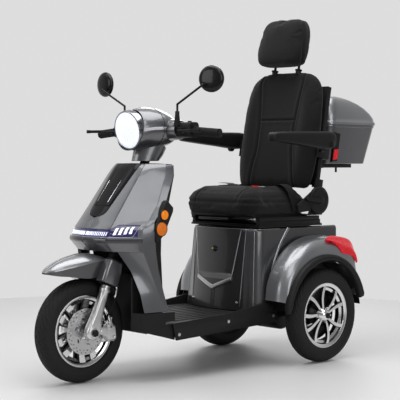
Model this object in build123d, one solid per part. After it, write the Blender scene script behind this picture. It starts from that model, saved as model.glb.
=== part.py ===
"""Three-wheeled electric mobility scooter, modelled in millimetres.

Frame: +X forward, +Y to the rider's left, +Z up. The origin is on the ground, under the scooter's middle.
The scooter has one steered front wheel on a telescopic fork, two rear wheels on a sprung axle with a hub
motor, a captain's seat on slide rails, and a top box on a rack behind the backrest.
"""
from build123d import *
from math import cos, sin, radians, tau
import os

# ---------------------------------------------------------------- driving dimensions
TYRE_R = 205.0                 # 16 x 3.0 inch tyre, outside radius
TYRE_HALF = 42.5               # half of the tyre's section width
RIM_R = 143.0                  # rim flange radius of a 10 inch rim
RIM_HALF = 30.0                # half of the rim's width over its flanges
BEAD_R = 129.0                 # radius where the tyre's bead sits
FRONT_AXLE_X = 712.0
REAR_AXLE_X = -388.0
TRACK_HALF = 306.0             # half of the distance between the rear wheels
AXLE_Z = TYRE_R

RAKE = 22.0                    # steering axis, degrees back from vertical
HEAD_X, HEAD_Z = 378.0, 865.0  # a point on the steering axis, at the top of the front shield
STEM_R = 19.0                  # steering stem
HEAD_TUBE_R = 28.0
STEM_GAP = 0.5                 # all round gap between stem and head tube
LEG_Y = 75.0                   # fork leg, distance from the middle
LEG_R = 21.0                   # fork slider tube
STANCHION_R = 15.0
SLIDE_GAP = 0.5
FRONT_AXLE_R = 8.0
WHEEL_GAP = 0.4                # hub bore over its axle, all round

DECK_Z = 232.0                 # top of the footboard
DECK_T = 6.0
DECK_HALF = 232.0
SKIRT_T = 8.0
WALL = 4.0                     # plastic cover wall
BASE_FRONT_X, BASE_REAR_X = -62.0, -590.0
BASE_HALF = 228.0
BASE_TOP = 590.0
BASE_BOTTOM = 262.0
ARCH_R = 240.0                 # wheel arch radius
FENDER_OUT = 335.0             # outside of the rear fenders
FLARE_OUT = 358.0              # outside of the rubber flares

SEAT_FRONT, SEAT_REAR = -22.0, -430.0
SEAT_HALF = 217.0
SEAT_Z0, SEAT_Z1 = 647.0, 745.0
RAIL_Y = 200.0
RAIL_Z = 600.0                 # top of the seat platform
SWIVEL_X = -250.0              # vertical swivel axis of the seat
SWIVEL_R = 20.0
RAIL_GAP = 0.6                 # air between sliding pieces of the seat
LEVER_BAR_X, SLIDE_LEVER_Z = -80.0, 628.0   # pivot bar of the lever that frees the seat slide
PIVOT_X, PIVOT_Z = -442.0, 705.0   # backrest hinge
LEAN = 10.0                    # backrest, degrees back from vertical
BACK_FRONT, BACK_REAR = 88.0, -2.0
BACK_LOW, BACK_TOP = 48.0, 580.0
HEAD_LOW, HEAD_TOP = 594.0, 816.0
POST_Y, POST_B, POST_R = 73.0, 58.0, 6.0
ARM_Y0, ARM_Y1 = 254.0, 306.0
ARM_PIVOT = (-455.0, 955.0)

BOX_FRONT, BOX_REAR = -562.0, -907.0
BOX_HALF = 203.0
BOX_Z0, BOX_RIM = 866.0, 1046.0
BOX_TOP = 1180.0
HINGE_X, HINGE_Z = -912.0, 1050.0

GRIP_IN, GRIP_OUT = (322.0, 235.0, 1000.0), (306.0, 372.0, 990.0)
BAR_MID_Y, BAR_Z = 60.0, 1008.0
BAR_R, GRIP_R = 11.0, 18.0
LAMP_C, LAMP_TILT, LAMP_R = (468.0, 0.0, 1002.0), 10.0, 70.0
MIRROR_X, MIRROR_Z, MIRROR_R = 320.0, 1206.0, 54.0
MIRROR_Y = {"left": 333.43, "right": 330.57}
MIRROR_TURN = {"left": 22.0, "right": 4.0}
BOOT_XY = (346.0, 165.0)
SWING_PIVOT = (-130.0, 200.0)  # rear swinging arm pivot, X and Z

BAR_X = HEAD_X - (BAR_Z - HEAD_Z) * sin(radians(RAKE)) / cos(radians(RAKE))
FORK = Plane(origin=(HEAD_X, 0, HEAD_Z), x_dir=(cos(radians(RAKE)), 0, sin(radians(RAKE))),
             z_dir=(-sin(radians(RAKE)), 0, cos(radians(RAKE))))
BACK = Plane(origin=(PIVOT_X, 0, PIVOT_Z), x_dir=(cos(radians(LEAN)), 0, sin(radians(LEAN))),
             z_dir=(-sin(radians(LEAN)), 0, cos(radians(LEAN))))
AXLE_LOCAL = FORK.to_local_coords(Vector(FRONT_AXLE_X, 0, AXLE_Z))   # X: fork offset, Z: length below
parts = {}


# ---------------------------------------------------------------- helpers
def block(x0, x1, y0, y1, z0, z1):
    """Box between two corners."""
    return Pos((x0 + x1) / 2, (y0 + y1) / 2, (z0 + z1) / 2) * Box(abs(x1 - x0), abs(y1 - y0), abs(z1 - z0))


def side_prism(points, y0, y1):
    """Polygon of (x, z) points, extruded from y0 to y1."""
    face = make_face(Polyline(*[(x, y0, z) for x, z in points], close=True))
    return extrude(face, amount=y1 - y0, dir=(0, 1, 0))


def front_prism(points, x0, x1):
    """Polygon of (y, z) points, extruded from x0 to x1."""
    face = make_face(Polyline(*[(x0, y, z) for y, z in points], close=True))
    return extrude(face, amount=x1 - x0, dir=(1, 0, 0))


def plan_prism(points, z0, z1):
    """Polygon of (x, y) points, extruded from z0 to z1."""
    face = make_face(Polyline(*[(x, y, z0) for x, y in points], close=True))
    return extrude(face, amount=z1 - z0, dir=(0, 0, 1))


def rod(a, b, r):
    """Cylinder of radius r from point a to point b."""
    a, b = Vector(*a), Vector(*b)
    from_end = (Align.CENTER, Align.CENTER, Align.MIN)
    return Plane(origin=a, z_dir=b - a) * Cylinder(r, (b - a).length, align=from_end)


def pipe(a, b, r, bore):
    return rod(a, b, r) - rod(a, b, bore)


def turned(points, x, z, y=0.0):
    """Ring made by turning a polygon of (y, radius) points about the wheel axis through (x, y, z)."""
    face = make_face(Polyline(*[(0, p, r) for p, r in points], close=True))
    return Pos(x, y, z) * revolve(face, Axis.Y, 360)


def both(shape):
    """The shape and its mirror image on the other side, as one group."""
    return Compound([*shape.solids(), *mirror(shape, Plane.XZ).solids()])


def largest(shape):
    """The biggest solid of a shape: cutting can leave crumbs beside it."""
    return max(shape.solids(), key=lambda s: s.volume)


def group(*shapes):
    return Compound([s for shape in shapes for s in shape.solids()])


def ring_of(points):
    """Closed plan outline from the points of one side, front to rear."""
    left = [(x, y) for x, y in points]
    right = [(x, -y) for x, y in reversed(points) if y > 0.01]
    return left + right


def ruled(sections):
    """Solid through plan outlines given as (z, points), with flat sides between them."""
    faces = [make_face(Polyline(*[(x, y, z) for x, y in pts], close=True)) for z, pts in sections]
    return loft(faces, ruled=True)


# ---------------------------------------------------------------- wheels
def tyre(x, y):
    h, b = TYRE_HALF, RIM_HALF - 5.5
    outer = [(b, BEAD_R + 0.3), (b, RIM_R + 1), (h - 7, RIM_R + 12), (h, RIM_R + 27), (h - 2, TYRE_R - 18),
             (h - 13, TYRE_R - 6), (h - 27, TYRE_R - 1), (0, TYRE_R)]
    inner = [(0, TYRE_R - 9), (h - 20, TYRE_R - 12), (h - 11, TYRE_R - 20), (h - 8, RIM_R + 27),
             (h - 14, RIM_R + 15), (b - 10, RIM_R + 3), (b - 10, BEAD_R + 0.3)]
    left = outer + inner
    half = turned(left, x, AXLE_Z, y)
    return half + turned([(-p, r) for p, r in left], x, AXLE_Z, y)


def rim(x, y, spokes, hub_r, hub_half, bore):
    w = RIM_HALF
    half = [(0, BEAD_R - 16), (9, BEAD_R - 16), (12, BEAD_R - 2), (w - 5, BEAD_R), (w - 4, RIM_R), (w, RIM_R),
            (w, RIM_R - 4), (w - 2, BEAD_R - 7), (w - 18, BEAD_R - 22), (0, BEAD_R - 22)]
    barrel = turned(half, x, AXLE_Z, y) + turned([(-p, r) for p, r in half], x, AXLE_Z, y)
    hub = turned([(-hub_half, bore), (-hub_half, hub_r), (hub_half, hub_r), (hub_half, bore)], x, AXLE_Z, y)
    outline = [(-9, hub_r - 3), (9, hub_r - 3), (7, BEAD_R - 19), (-7, BEAD_R - 19)]
    spoke = Pos(0, y, 0) * side_prism(outline, -11, 11)
    body = barrel + hub
    for a in spokes:
        body = body + Pos(x, 0, AXLE_Z) * Rot(0, a, 0) * spoke
    return body


SPOKES = [a * 72 + d for a in range(5) for d in (-13, 13)]
HUB_HALF = 48.0
parts["front_tyre"] = tyre(FRONT_AXLE_X, 0)
parts["front_rim"] = rim(FRONT_AXLE_X, 0, SPOKES, 30, HUB_HALF, FRONT_AXLE_R + WHEEL_GAP)
REAR_SHAFT_R = 12.0
for side, sign in (("left", 1), ("right", -1)):
    parts[f"rear_tyre_{side}"] = tyre(REAR_AXLE_X, sign * TRACK_HALF)
    parts[f"rear_rim_{side}"] = rim(REAR_AXLE_X, sign * TRACK_HALF, SPOKES, 32, 42, REAR_SHAFT_R + WHEEL_GAP)

DISC_R, DISC_Y, DISC_T = 92.0, 36.0, 4.0
disc_section = [(DISC_Y, 31), (DISC_Y, DISC_R), (DISC_Y + DISC_T, DISC_R), (DISC_Y + DISC_T, 31)]
disc = turned(disc_section, FRONT_AXLE_X, AXLE_Z)
for n in range(12):
    a = tau * n / 12
    hole = (FRONT_AXLE_X + 76 * cos(a), DISC_Y - 1, AXLE_Z + 76 * sin(a))
    disc = disc - rod(hole, (hole[0], DISC_Y + DISC_T + 1, hole[2]), 4)
parts["brake_disc"] = disc

# ---------------------------------------------------------------- front fork
CROWN_Z0, CROWN_Z1 = -475.0, -450.0
OFFSET, LEG_END = AXLE_LOCAL.X, AXLE_LOCAL.Z
crown_plan = [(-35, -30), (40, -96), (OFFSET + 30, -96), (OFFSET + 30, 96), (40, 96), (-35, 30)]
crown = plan_prism(crown_plan, CROWN_Z0, CROWN_Z1)
stem = rod((0, 0, CROWN_Z1 - 1), (0, 0, 137), STEM_R)
yoke = crown + stem
for sign in (1, -1):
    yoke = yoke + rod((OFFSET, sign * LEG_Y, CROWN_Z0 + 1), (OFFSET, sign * LEG_Y, LEG_END + 67), STANCHION_R)
parts["fork_yoke"] = FORK * yoke


def fork_cover():
    c = block(OFFSET - 35, OFFSET + 50, 57, 113, CROWN_Z0 - 60, CROWN_Z1 + 13)
    c = fillet(c.edges().filter_by(Axis.Z), 14)
    c = c - block(OFFSET - 90, OFFSET + 32, 40, 98, CROWN_Z0 - 1, CROWN_Z1 + 1)
    return c - rod((OFFSET, LEG_Y, CROWN_Z0 - 70), (OFFSET, LEG_Y, CROWN_Z0 - 1), LEG_R + 4)


cover_l = FORK * fork_cover()

SLIDER_TOP = CROWN_Z0 - 68
slider = rod((OFFSET, LEG_Y, LEG_END - 12), (OFFSET, LEG_Y, SLIDER_TOP), LEG_R)
foot = block(OFFSET - 27, OFFSET + 27, LEG_Y - 17, LEG_Y + 17, LEG_END - 27, LEG_END + 45)
slider = slider + fillet(foot.edges().filter_by(Axis.Y), 12)
slider = slider - rod((OFFSET, LEG_Y, LEG_END + 22), (OFFSET, LEG_Y, SLIDER_TOP + 1), STANCHION_R + SLIDE_GAP)
slider = FORK * slider - rod((FRONT_AXLE_X, 40, AXLE_Z), (FRONT_AXLE_X, 130, AXLE_Z), FRONT_AXLE_R)
NUT_Y = LEG_Y + LEG_R + 0.3
axle = rod((FRONT_AXLE_X, -NUT_Y - 12, AXLE_Z), (FRONT_AXLE_X, NUT_Y + 12, AXLE_Z), FRONT_AXLE_R)
for s in (1, -1):
    axle = axle + rod((FRONT_AXLE_X, s * NUT_Y, AXLE_Z), (FRONT_AXLE_X, s * (NUT_Y + 9), AXLE_Z), 14)
parts["fork_sliders"] = group(slider, mirror(slider, Plane.XZ), axle)
caliper = block(FRONT_AXLE_X - 128, FRONT_AXLE_X - 62, DISC_Y - 14, DISC_Y + 30, AXLE_Z - 42, AXLE_Z + 26)
caliper = fillet(caliper.edges().filter_by(Axis.Y), 12)
caliper = caliper - turned([(DISC_Y - 3, 20), (DISC_Y - 3, DISC_R + 3), (DISC_Y + DISC_T + 3, DISC_R + 3),
                            (DISC_Y + DISC_T + 3, 20)], FRONT_AXLE_X, AXLE_Z)
caliper = caliper - turned([(-60, 20), (-60, BEAD_R - 19), (RIM_HALF + 2, BEAD_R + 20), (RIM_HALF + 2, 20)],
                           FRONT_AXLE_X, AXLE_Z)
parts["brake_caliper"] = caliper

# ---------------------------------------------------------------- front fender and column cover
fender_side = [(893, 441), (862, 466), (800, 494), (720, 511), (650, 506), (606, 488), (606, 432), (700, 416),
               (806, 429)]
fender_in = [(889, 436), (858, 459), (798, 488), (720, 505), (652, 500), (610, 484), (600, 380), (700, 380),
             (900, 380)]
fender_plan = [(893, 10), (850, 48), (770, 68), (600, 74), (600, -74), (770, -68), (850, -48), (893, -10)]
plan_in = [(886, 6), (846, 44), (768, 64), (590, 70), (590, -70), (768, -64), (846, -44), (886, -6)]
fender = side_prism(fender_side, -80, 80) & plan_prism(fender_plan, 380, 540)
fender = fender - (side_prism(fender_in, -80, 80) & plan_prism(plan_in, 370, 540))
cover_room = FORK * block(OFFSET - 36, OFFSET + 51, 50, 120, CROWN_Z0 - 62, CROWN_Z1 + 15)
fender = fender - cover_room - mirror(cover_room, Plane.XZ)
fender = fender - FORK * block(-60, OFFSET + 34, -100, 100, CROWN_Z0 - 3, CROWN_Z1 + 3)
parts["front_fender"] = group(largest(fender), both(cover_l))

COLUMN_Z0, COLUMN_Z1 = 28.0, 84.0


def column_cover():
    """Tapered cover round the stem, between the front shield and the headlight cowl."""
    outside = [Pos(0, 0, COLUMN_Z0) * Ellipse(56, 46), Pos(0, 0, COLUMN_Z1) * Ellipse(66, 52)]
    inside = [Pos(0, 0, COLUMN_Z0 - 1) * Ellipse(52, 42), Pos(0, 0, COLUMN_Z1 + 1) * Ellipse(62, 48)]
    return FORK * (loft([o.faces()[0] for o in outside]) - loft([i.faces()[0] for i in inside]))



# ---------------------------------------------------------------- handlebar, headlight and controls
def bar_point(sign, t):
    """Point on the handlebar's grip stretch, t mm from its inner end."""
    a, b = Vector(*GRIP_IN), Vector(*GRIP_OUT)
    p = a + (b - a).normalized() * t
    return (p.X, sign * p.Y, p.Z)


GRIP_LEN = (Vector(*GRIP_OUT) - Vector(*GRIP_IN)).length
bar_bends = [(BAR_X, BAR_MID_Y, BAR_Z), GRIP_IN, GRIP_OUT]
bar = rod((BAR_X, -BAR_MID_Y, BAR_Z), (BAR_X, BAR_MID_Y, BAR_Z), BAR_R)
for sign in (1, -1):
    mid, inner, outer = [(p[0], sign * p[1], p[2]) for p in bar_bends]
    bar = bar + rod(mid, inner, BAR_R) + rod(inner, outer, BAR_R)
    bar = bar + Pos(*mid) * Sphere(BAR_R) + Pos(*inner) * Sphere(BAR_R)
clamp = FORK * rod((0, 0, 137.5), (0, 0, 178), 24)
parts["handlebar"] = bar + clamp

GRIP_START, GRIP_STOP = 14.0, GRIP_LEN - 2


def grip(sign, bore):
    g = pipe(bar_point(sign, GRIP_START), bar_point(sign, GRIP_STOP), GRIP_R, bore)
    return g + pipe(bar_point(sign, GRIP_START - 6), bar_point(sign, GRIP_START), GRIP_R + 4, bore)


parts["grip_left"] = grip(1, BAR_R)
parts["throttle_grip"] = grip(-1, BAR_R + WHEEL_GAP)

LEVER_PIVOT = (356.0, 196.0)
LEVER_Z0, LEVER_Z1 = 993.0, 1007.0


def switch_pod():
    body = block(292, LEVER_PIVOT[0] - 12, 158, 236, 974, 1036)
    body = fillet(body.edges().filter_by(Axis.Y), 16)
    for z0, z1 in ((LEVER_Z0 - 7, LEVER_Z0 - 1), (LEVER_Z1 + 1, LEVER_Z1 + 7)):
        body = body + block(330, LEVER_PIVOT[0] + 10, LEVER_PIVOT[1] - 12, LEVER_PIVOT[1] + 12, z0, z1)
    body = body + rod((*LEVER_PIVOT, LEVER_Z0 - 6), (*LEVER_PIVOT, LEVER_Z1 + 6), 4)
    body = body + block(336, BOOT_XY[0] + 12, BOOT_XY[1] - 7, BOOT_XY[1] + 12, 1018, 1034)
    return body


bar_room = rod((BAR_X, BAR_MID_Y, BAR_Z), GRIP_IN, BAR_R) + rod(GRIP_IN, bar_point(1, 20), BAR_R) \
    + Pos(*GRIP_IN) * Sphere(BAR_R)
pod = switch_pod() - bar_room
HORN_XYZ = (300.0, 205.0, 1036.0)
horn_well = rod((HORN_XYZ[0] + 14, HORN_XYZ[1], 1028), (HORN_XYZ[0] + 14, HORN_XYZ[1], 1040), 8.5)
pod_left = pod - horn_well
parts["switch_pods"] = group(pod_left, mirror(pod, Plane.XZ))
parts["horn_button"] = rod((HORN_XYZ[0] + 14, HORN_XYZ[1], 1031.5), (HORN_XYZ[0] + 14, HORN_XYZ[1], 1041), 8)


def lever():
    px, py = LEVER_PIVOT
    blade = plan_prism([(px - 2, py - 10), (px + 12, py - 8), (396, 248), (402, 300), (402, 346), (390, 346),
                        (390, 300), (384, 256), (px + 3, py + 11)], LEVER_Z0 + 1, LEVER_Z1 - 1)
    knuckle = rod((px, py, LEVER_Z0), (px, py, LEVER_Z1), 10)
    tip = rod((396, 348, LEVER_Z0), (396, 348, LEVER_Z1), 8)
    return blade + knuckle + tip - rod((px, py, 950), (px, py, 1050), 4.5)


parts["brake_lever_left"] = lever()
parts["brake_lever_right"] = mirror(parts["brake_lever_left"], Plane.XZ)

LAMP = Plane(origin=LAMP_C, x_dir=(0, 1, 0), z_dir=(cos(radians(LAMP_TILT)), 0, -sin(radians(LAMP_TILT))))
lens = LAMP * (Pos(0, 0, -4) * Cylinder(LAMP_R, 14))
bezel = LAMP * (Pos(0, 0, -12) * (Cylinder(LAMP_R + 11, 34) - Cylinder(LAMP_R, 40)))
parts["headlight"] = group(lens, bezel)


def ellipse_at(x, z, half_y, half_z):
    return Plane(origin=(x, 0, z), x_dir=(0, 1, 0), z_dir=(1, 0, 0)) * Ellipse(half_y, half_z).faces()[0]


COWL = [(240, 1000, 60, 38), (275, 1006, 95, 66), (330, 1011, 112, 82), (390, 1010, 104, 88),
        (452, 1004, LAMP_R + 14, LAMP_R + 14)]       # the cowl's ellipses: X, Z, half width, half height


def cowl_body(inset):
    nose = loft([ellipse_at(x, z, a - inset, b - inset) for x, z, a, b in COWL])
    arms = Pos(312, 0, 1008) * Rot(90, 0, 0) * Cylinder(44 - inset, 2 * (152 + inset))
    return nose + arms


shell = cowl_body(0) - cowl_body(WALL)
shell = shell - LAMP * (Pos(0, 0, 20) * Cylinder(LAMP_R + 60, 98)) - block(200, 244, -100, 100, 900, 1100)
shell = shell - FORK * rod((0, 0, 40), (0, 0, 140), 66)
parts["headlight_cowl"] = group(largest(shell), column_cover() - cowl_body(0.4))


# ---------------------------------------------------------------- mirrors
def mirror_parts(side):
    sign = 1 if side == "left" else -1
    turn = radians(MIRROR_TURN[side])
    normal = Vector(cos(turn), sin(turn), 0)
    centre = Vector(MIRROR_X, MIRROR_Y[side], MIRROR_Z)
    head = Plane(origin=centre, x_dir=(-sin(turn), cos(turn), 0), z_dir=normal)
    dish = head * (Pos(0, 0, 0) * Cylinder(MIRROR_R, 20))
    dish = fillet(dish.edges().sort_by_distance(centre + normal * 40)[0:1], 9)
    ball_local = (-24, -26)
    boss = head * rod((*ball_local, 9), (*ball_local, 20), 7)
    ball = head.from_local_coords(Vector(*ball_local, 29))
    bx, by = BOOT_XY
    stem = rod((bx, by, 1034.5), (bx, by, 1080), 9) + rod((bx, by, 1075), (bx, by, 1108), 4.5)
    stem = stem + Pos(bx, by, 1108) * Sphere(4.5)
    stem = stem + rod((bx, by, 1108), tuple(ball), 4.5) + Pos(*ball) * Sphere(6.5)
    dish = dish + boss
    if sign < 0:
        return mirror(dish, Plane.XZ), mirror(stem, Plane.XZ), mirror_vec(ball)
    return dish, stem, ball


def mirror_vec(v):
    return Vector(v.X, -v.Y, v.Z)


MIRROR_BALL = {}
for side in ("left", "right"):
    parts[f"mirror_head_{side}"], parts[f"mirror_stem_{side}"], MIRROR_BALL[side] = mirror_parts(side)

# ---------------------------------------------------------------- frame
HT_LOW, HT_TOP = CROWN_Z1 + 8, -8.0
head_tube = FORK * pipe((0, 0, HT_LOW), (0, 0, HT_TOP), HEAD_TUBE_R, STEM_R + STEM_GAP)
DOWN_TOP, DOWN_LOW = (446, 0, 590), (428, 0, 222)
stem_room = FORK * rod((0, 0, HT_LOW - 20), (0, 0, HT_TOP + 20), STEM_R + STEM_GAP)
down = rod(DOWN_TOP, DOWN_LOW, 22) + rod(DOWN_TOP, (486, 0, 590), 22) + Pos(*DOWN_TOP) * Sphere(22)
parts["head_tube"] = head_tube + (down - stem_room)

SHOCK_Y, SHOCK_TOP = BASE_HALF - 38, 480.0
FRAME_Y0, FRAME_Y1 = 60.0, 92.0
RAIL_TOP = DECK_Z - DECK_T - 1
REAR_RAIL_Z0, REAR_RAIL_Z1 = 330.0, 360.0
rail = block(-118, 452, FRAME_Y0, FRAME_Y1, RAIL_TOP - 42, RAIL_TOP)
rail = rail + block(-118, -88, FRAME_Y0, FRAME_Y1, RAIL_TOP - 42, REAR_RAIL_Z1)
rail = rail + block(-575, -88, FRAME_Y0, FRAME_Y1, REAR_RAIL_Z0, REAR_RAIL_Z1)
rail = rail + block(SWING_PIVOT[0] - 14, -118, FRAME_Y0 + 10, FRAME_Y0 + 18, 184, 222)
frame = rail + mirror(rail, Plane.XZ)
for x in (412, 300, 180, 60, -60):
    frame = frame + block(x, x + 26, -FRAME_Y0, FRAME_Y0, RAIL_TOP - 38, RAIL_TOP - 4)
for x in (-300, -420, -560):
    frame = frame + block(x, x + 26, -FRAME_Y0, FRAME_Y0, REAR_RAIL_Z0, REAR_RAIL_Z1)
for s in (1, -1):
    frame = frame + block(REAR_AXLE_X - 16, REAR_AXLE_X + 16, s * 64, s * 88, REAR_RAIL_Z1 - 2, 499)
    frame = frame + block(REAR_AXLE_X - 16, REAR_AXLE_X + 16, s * 64, s * (SHOCK_Y + 20),
                          SHOCK_TOP + 1, SHOCK_TOP + 19)
frame = frame - rod(DOWN_TOP, DOWN_LOW, 22) - rod((DOWN_LOW[0], 0, 222), (DOWN_LOW[0], 0, 170), 22)
frame = frame - rod((SWING_PIVOT[0], -120, SWING_PIVOT[1]), (SWING_PIVOT[0], 120, SWING_PIVOT[1]), 8.5)
parts["floor_frame"] = frame

# ---------------------------------------------------------------- footboard and lower cover
LEG_REAR_X = 447.0
deck = block(BASE_FRONT_X + 1, LEG_REAR_X + 12, -DECK_HALF, DECK_HALF, DECK_Z - DECK_T, DECK_Z)
for y in range(-180, 181, 40):
    deck = deck + block(BASE_FRONT_X + 50, 360, y - 6, y + 6, DECK_Z - 1, DECK_Z + 3)
parts["deck"] = deck - rod((DOWN_LOW[0], 0, 200), (DOWN_LOW[0] + 2, 0, 260), 23)
skirt = side_prism([(409, 162), (430, 232), (120, 246), (-85, 272), (-105, 272), (-240, 262), (-232, 188)],
                   DECK_HALF + 0.3, DECK_HALF + SKIRT_T)
skirt = skirt - rod((REAR_AXLE_X, 200, AXLE_Z), (REAR_AXLE_X, 300, AXLE_Z), ARCH_R - 28)
parts["side_skirts"] = both(skirt)

LINER_X, POCKET_Y = 488.0, 140.0   # back wall and half width of the pocket that the front wheel turns in
LOWER_TOP, LINER_TOP = 278.0, 418.0
LOWER_WALL = 5.0


def lower_cover():
    """Black cover round the front wheel's pocket, from the footboard to the foot of the grey shield."""
    t = LOWER_WALL
    rim_pts = [(LINER_X, POCKET_Y), (570, POCKET_Y + 6), (578, POCKET_Y + 16), (554, 204), (474, 231),
               (412, 231)]
    in_pts = [(LINER_X - t, POCKET_Y + t), (566, POCKET_Y + 6 + t), (572, POCKET_Y + 17 + t / 2),
              (551, 204 - t), (472, 231 - t), (400, 231 - t)]
    cover = plan_prism(ring_of(rim_pts), 150, LINER_TOP) - plan_prism(ring_of(in_pts), 140, LINER_TOP + 1)
    for s in (1, -1):
        cover = cover - block(390, 600, s * (POCKET_Y + 20), s * 240, LOWER_TOP, LINER_TOP + 1)
    cover = cover - side_prism([(390, 140), (390, 158), (600, 217), (600, 140)], -250, 250)
    return cover - block(400, 462, -233, 233, DECK_Z - DECK_T - 0.3, DECK_Z + 8)


parts["lower_cover"] = largest(lower_cover())

# ---------------------------------------------------------------- front shield and what is let into it
SHIELD = [  # height, nose x, then corner, crease and rear edge as (x, y)
    (522, 655, (636, 112), (556, 201), (497, 212)),
    (560, 698, (672, 115), (556, 199), (500, 212)),
    (612, 675, (651, 112), (551, 192), (506, 210)),
    (640, 650, (628, 110), (520, 190), (502, 208)),
    (707, 600, (577, 106), (466, 184), (442, 204)),
    (820, 512, (492, 100), (412, 168), (380, 182)),
    (868, 474, (456, 95), (400, 158), (372, 167)),
]
LEGS = [  # height, front edge, crease and rear edge as (x, y)
    (280, (556, 213), (467, 230), (447, 234)),
    (354, (567, 200), (493, 222), (466, 226)),
    (446, (588, 165), (527, 211), (488, 217)),
    (523, (624, 127), (555, 201), (497, 212)),
]


def shield_solid(inset, back):
    rows = []
    for z, nose, corner, crease, rear in SHIELD:
        pts = [(nose - inset * 1.3, 0), (corner[0] - inset * 1.2, corner[1] - inset * 0.4),
               (crease[0] - inset * 0.9, crease[1] - inset), (rear[0] - back, rear[1] - inset)]
        rows.append((z, ring_of(pts)))
    return ruled(rows)


outer = shield_solid(0, 0)
skin = outer - shield_solid(WALL, 40)
skin = skin - block(300, 700, -300, 300, 500, 521.9)


def leg_section(front, crease, rear):
    """Plan outline of one leg panel: its outside, then its inside a wall further in."""
    inside = [(rear[0], rear[1] - WALL), (crease[0] - 2, crease[1] - WALL), (front[0] - 3, front[1] - WALL)]
    return [front, crease, rear, *inside]


leg = ruled([(z, leg_section(front, crease, rear)) for z, front, crease, rear in LEGS])
skin = skin + leg + mirror(leg, Plane.XZ)

gloss_zone = front_prism([(-34, 668), (34, 668), (48, 700), (72, 900), (-72, 900), (-48, 700)], 400, 760)
bar_outline = [(-200, 640), (-116, 622), (116, 622), (200, 640), (200, 606), (112, 584), (-112, 584),
               (-200, 606)]
bar_zone = front_prism(bar_outline, 546, 760)
parts["gloss_panel"] = largest(skin & gloss_zone)
light_bar = skin & bar_zone
led_zone = [block(560, 760, y - 2.4, y + 2.4, 594, 610) for y in [-95 + 10 * n for n in range(20)]]
for y in (128, 142, 156, 170):
    led_zone += [block(560, 760, y - 4.5, y + 4.5, 598, 622), block(560, 760, -y - 4.5, -y + 4.5, 598, 622)]
leds = []
for zone in led_zone:
    leds += (light_bar & zone).solids()
    light_bar = light_bar - zone
light_body = largest(light_bar)
parts["light_bar"] = group(light_body, *[s for s in leds if s.volume > 20])
parts["front_shield"] = largest(skin - gloss_zone - bar_zone)

KNEE = [  # height, front edge and rear corner of the knee panel as (x, y)
    (240, (444, 196), (384, 130)),
    (300, (454.8, 196), (384, 130)),
    (500, (490.8, 196), (398, 130)),
    (600, (500.5, 196), (398, 132)),
    (620, (502, 196), (390.5, 132)),
    (704, (438, 194), (358, 130)),
    (818, (376, 176), (324, 124)),
    (861, (369, 160), (316, 112)),
]
KNEE_OPEN = 30.0               # how far the hollow of the knee panel runs out through its open front


def knee_hollow(front, rear):
    """Inside of the knee panel: its sloping sides moved in by a wall, its front left open."""
    slope = (front[1] - rear[1]) / (front[0] - rear[0])
    mouth = (front[0] + KNEE_OPEN, front[1] + KNEE_OPEN * slope - WALL * 1.3)
    return mouth, (rear[0] + WALL + 1, rear[1] - WALL / 2)


hollow_rows = []
for z, front, rear in KNEE:
    mouth, corner = knee_hollow(front, rear)
    hollow_rows.append((min(z, KNEE[-1][0] - 3), ring_of([mouth, corner])))
hollow_rows[0] = (KNEE[0][0] - 4, hollow_rows[0][1])
leg_shield = ruled([(z, ring_of([front, rear])) for z, front, rear in KNEE]) - ruled(hollow_rows)
leg_shield = leg_shield - FORK * rod((0, 0, -80), (0, 0, 60), 34)
leg_shield = leg_shield - block(LINER_X - 6, 600, -200, 200, 150, 420)
parts["leg_shield"] = largest(leg_shield)

POD = [(448, 731), (406, 691), (448, 608), (470, 572), (506, 550), (506, 620), (500, 634)]
pod_box = largest(side_prism(POD, 199, 222) - shield_solid(-0.3, 0))
LENSES = [((463, 666), 20), ((478, 610), 28)]
lens_solids = [rod((x, 222.2, z), (x, 229, z), r) for (x, z), r in LENSES]
parts["side_indicators"] = both(group(pod_box, *lens_solids))

KEY_Y, KEY_Z = -70.0, 700.0
KEY_X = 352.0
parts["ignition_key"] = rod((KEY_X + 2, KEY_Y, KEY_Z), (KEY_X - 16, KEY_Y, KEY_Z), 11) \
    + block(KEY_X - 44, KEY_X - 15, KEY_Y - 2, KEY_Y + 2, KEY_Z - 12, KEY_Z + 12)

# ---------------------------------------------------------------- seat base, fenders and rear
BASE_BULGE = 44.0              # how far the middle of the front stands out before its corners
base_front = [(BASE_FRONT_X + BASE_BULGE * (1 - (y / (BASE_HALF - 18)) ** 2), y) for y in (0, 50, 100, 150)]
base_plan = [*base_front, (BASE_FRONT_X, BASE_HALF - 34), (BASE_FRONT_X - 7, BASE_HALF - 16),
             (BASE_FRONT_X - 18, BASE_HALF - 5), (BASE_FRONT_X - 36, BASE_HALF), (BASE_REAR_X, BASE_HALF)]
BASE_RAKE = 24.0               # how far the front of the seat base leans back from foot to top
BASE_TAPER_FRONT, BASE_TAPER_REAR = 20.0, 10.0   # how much narrower each side is at the top


def base_solid(inset, z0, z1):
    rear_x = BASE_REAR_X - (1 if inset else 0)
    low = [(x - inset, max(y - inset, 0)) for x, y in base_plan[:-1]] + [(rear_x, BASE_HALF - inset)]
    top = [(x - BASE_RAKE, y * (1 - BASE_TAPER_FRONT / BASE_HALF)) for x, y in low[:-1]]
    top.append((rear_x, BASE_HALF - BASE_TAPER_REAR - inset))
    return ruled([(z0, ring_of(low)), (z1, ring_of(top))])


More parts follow.
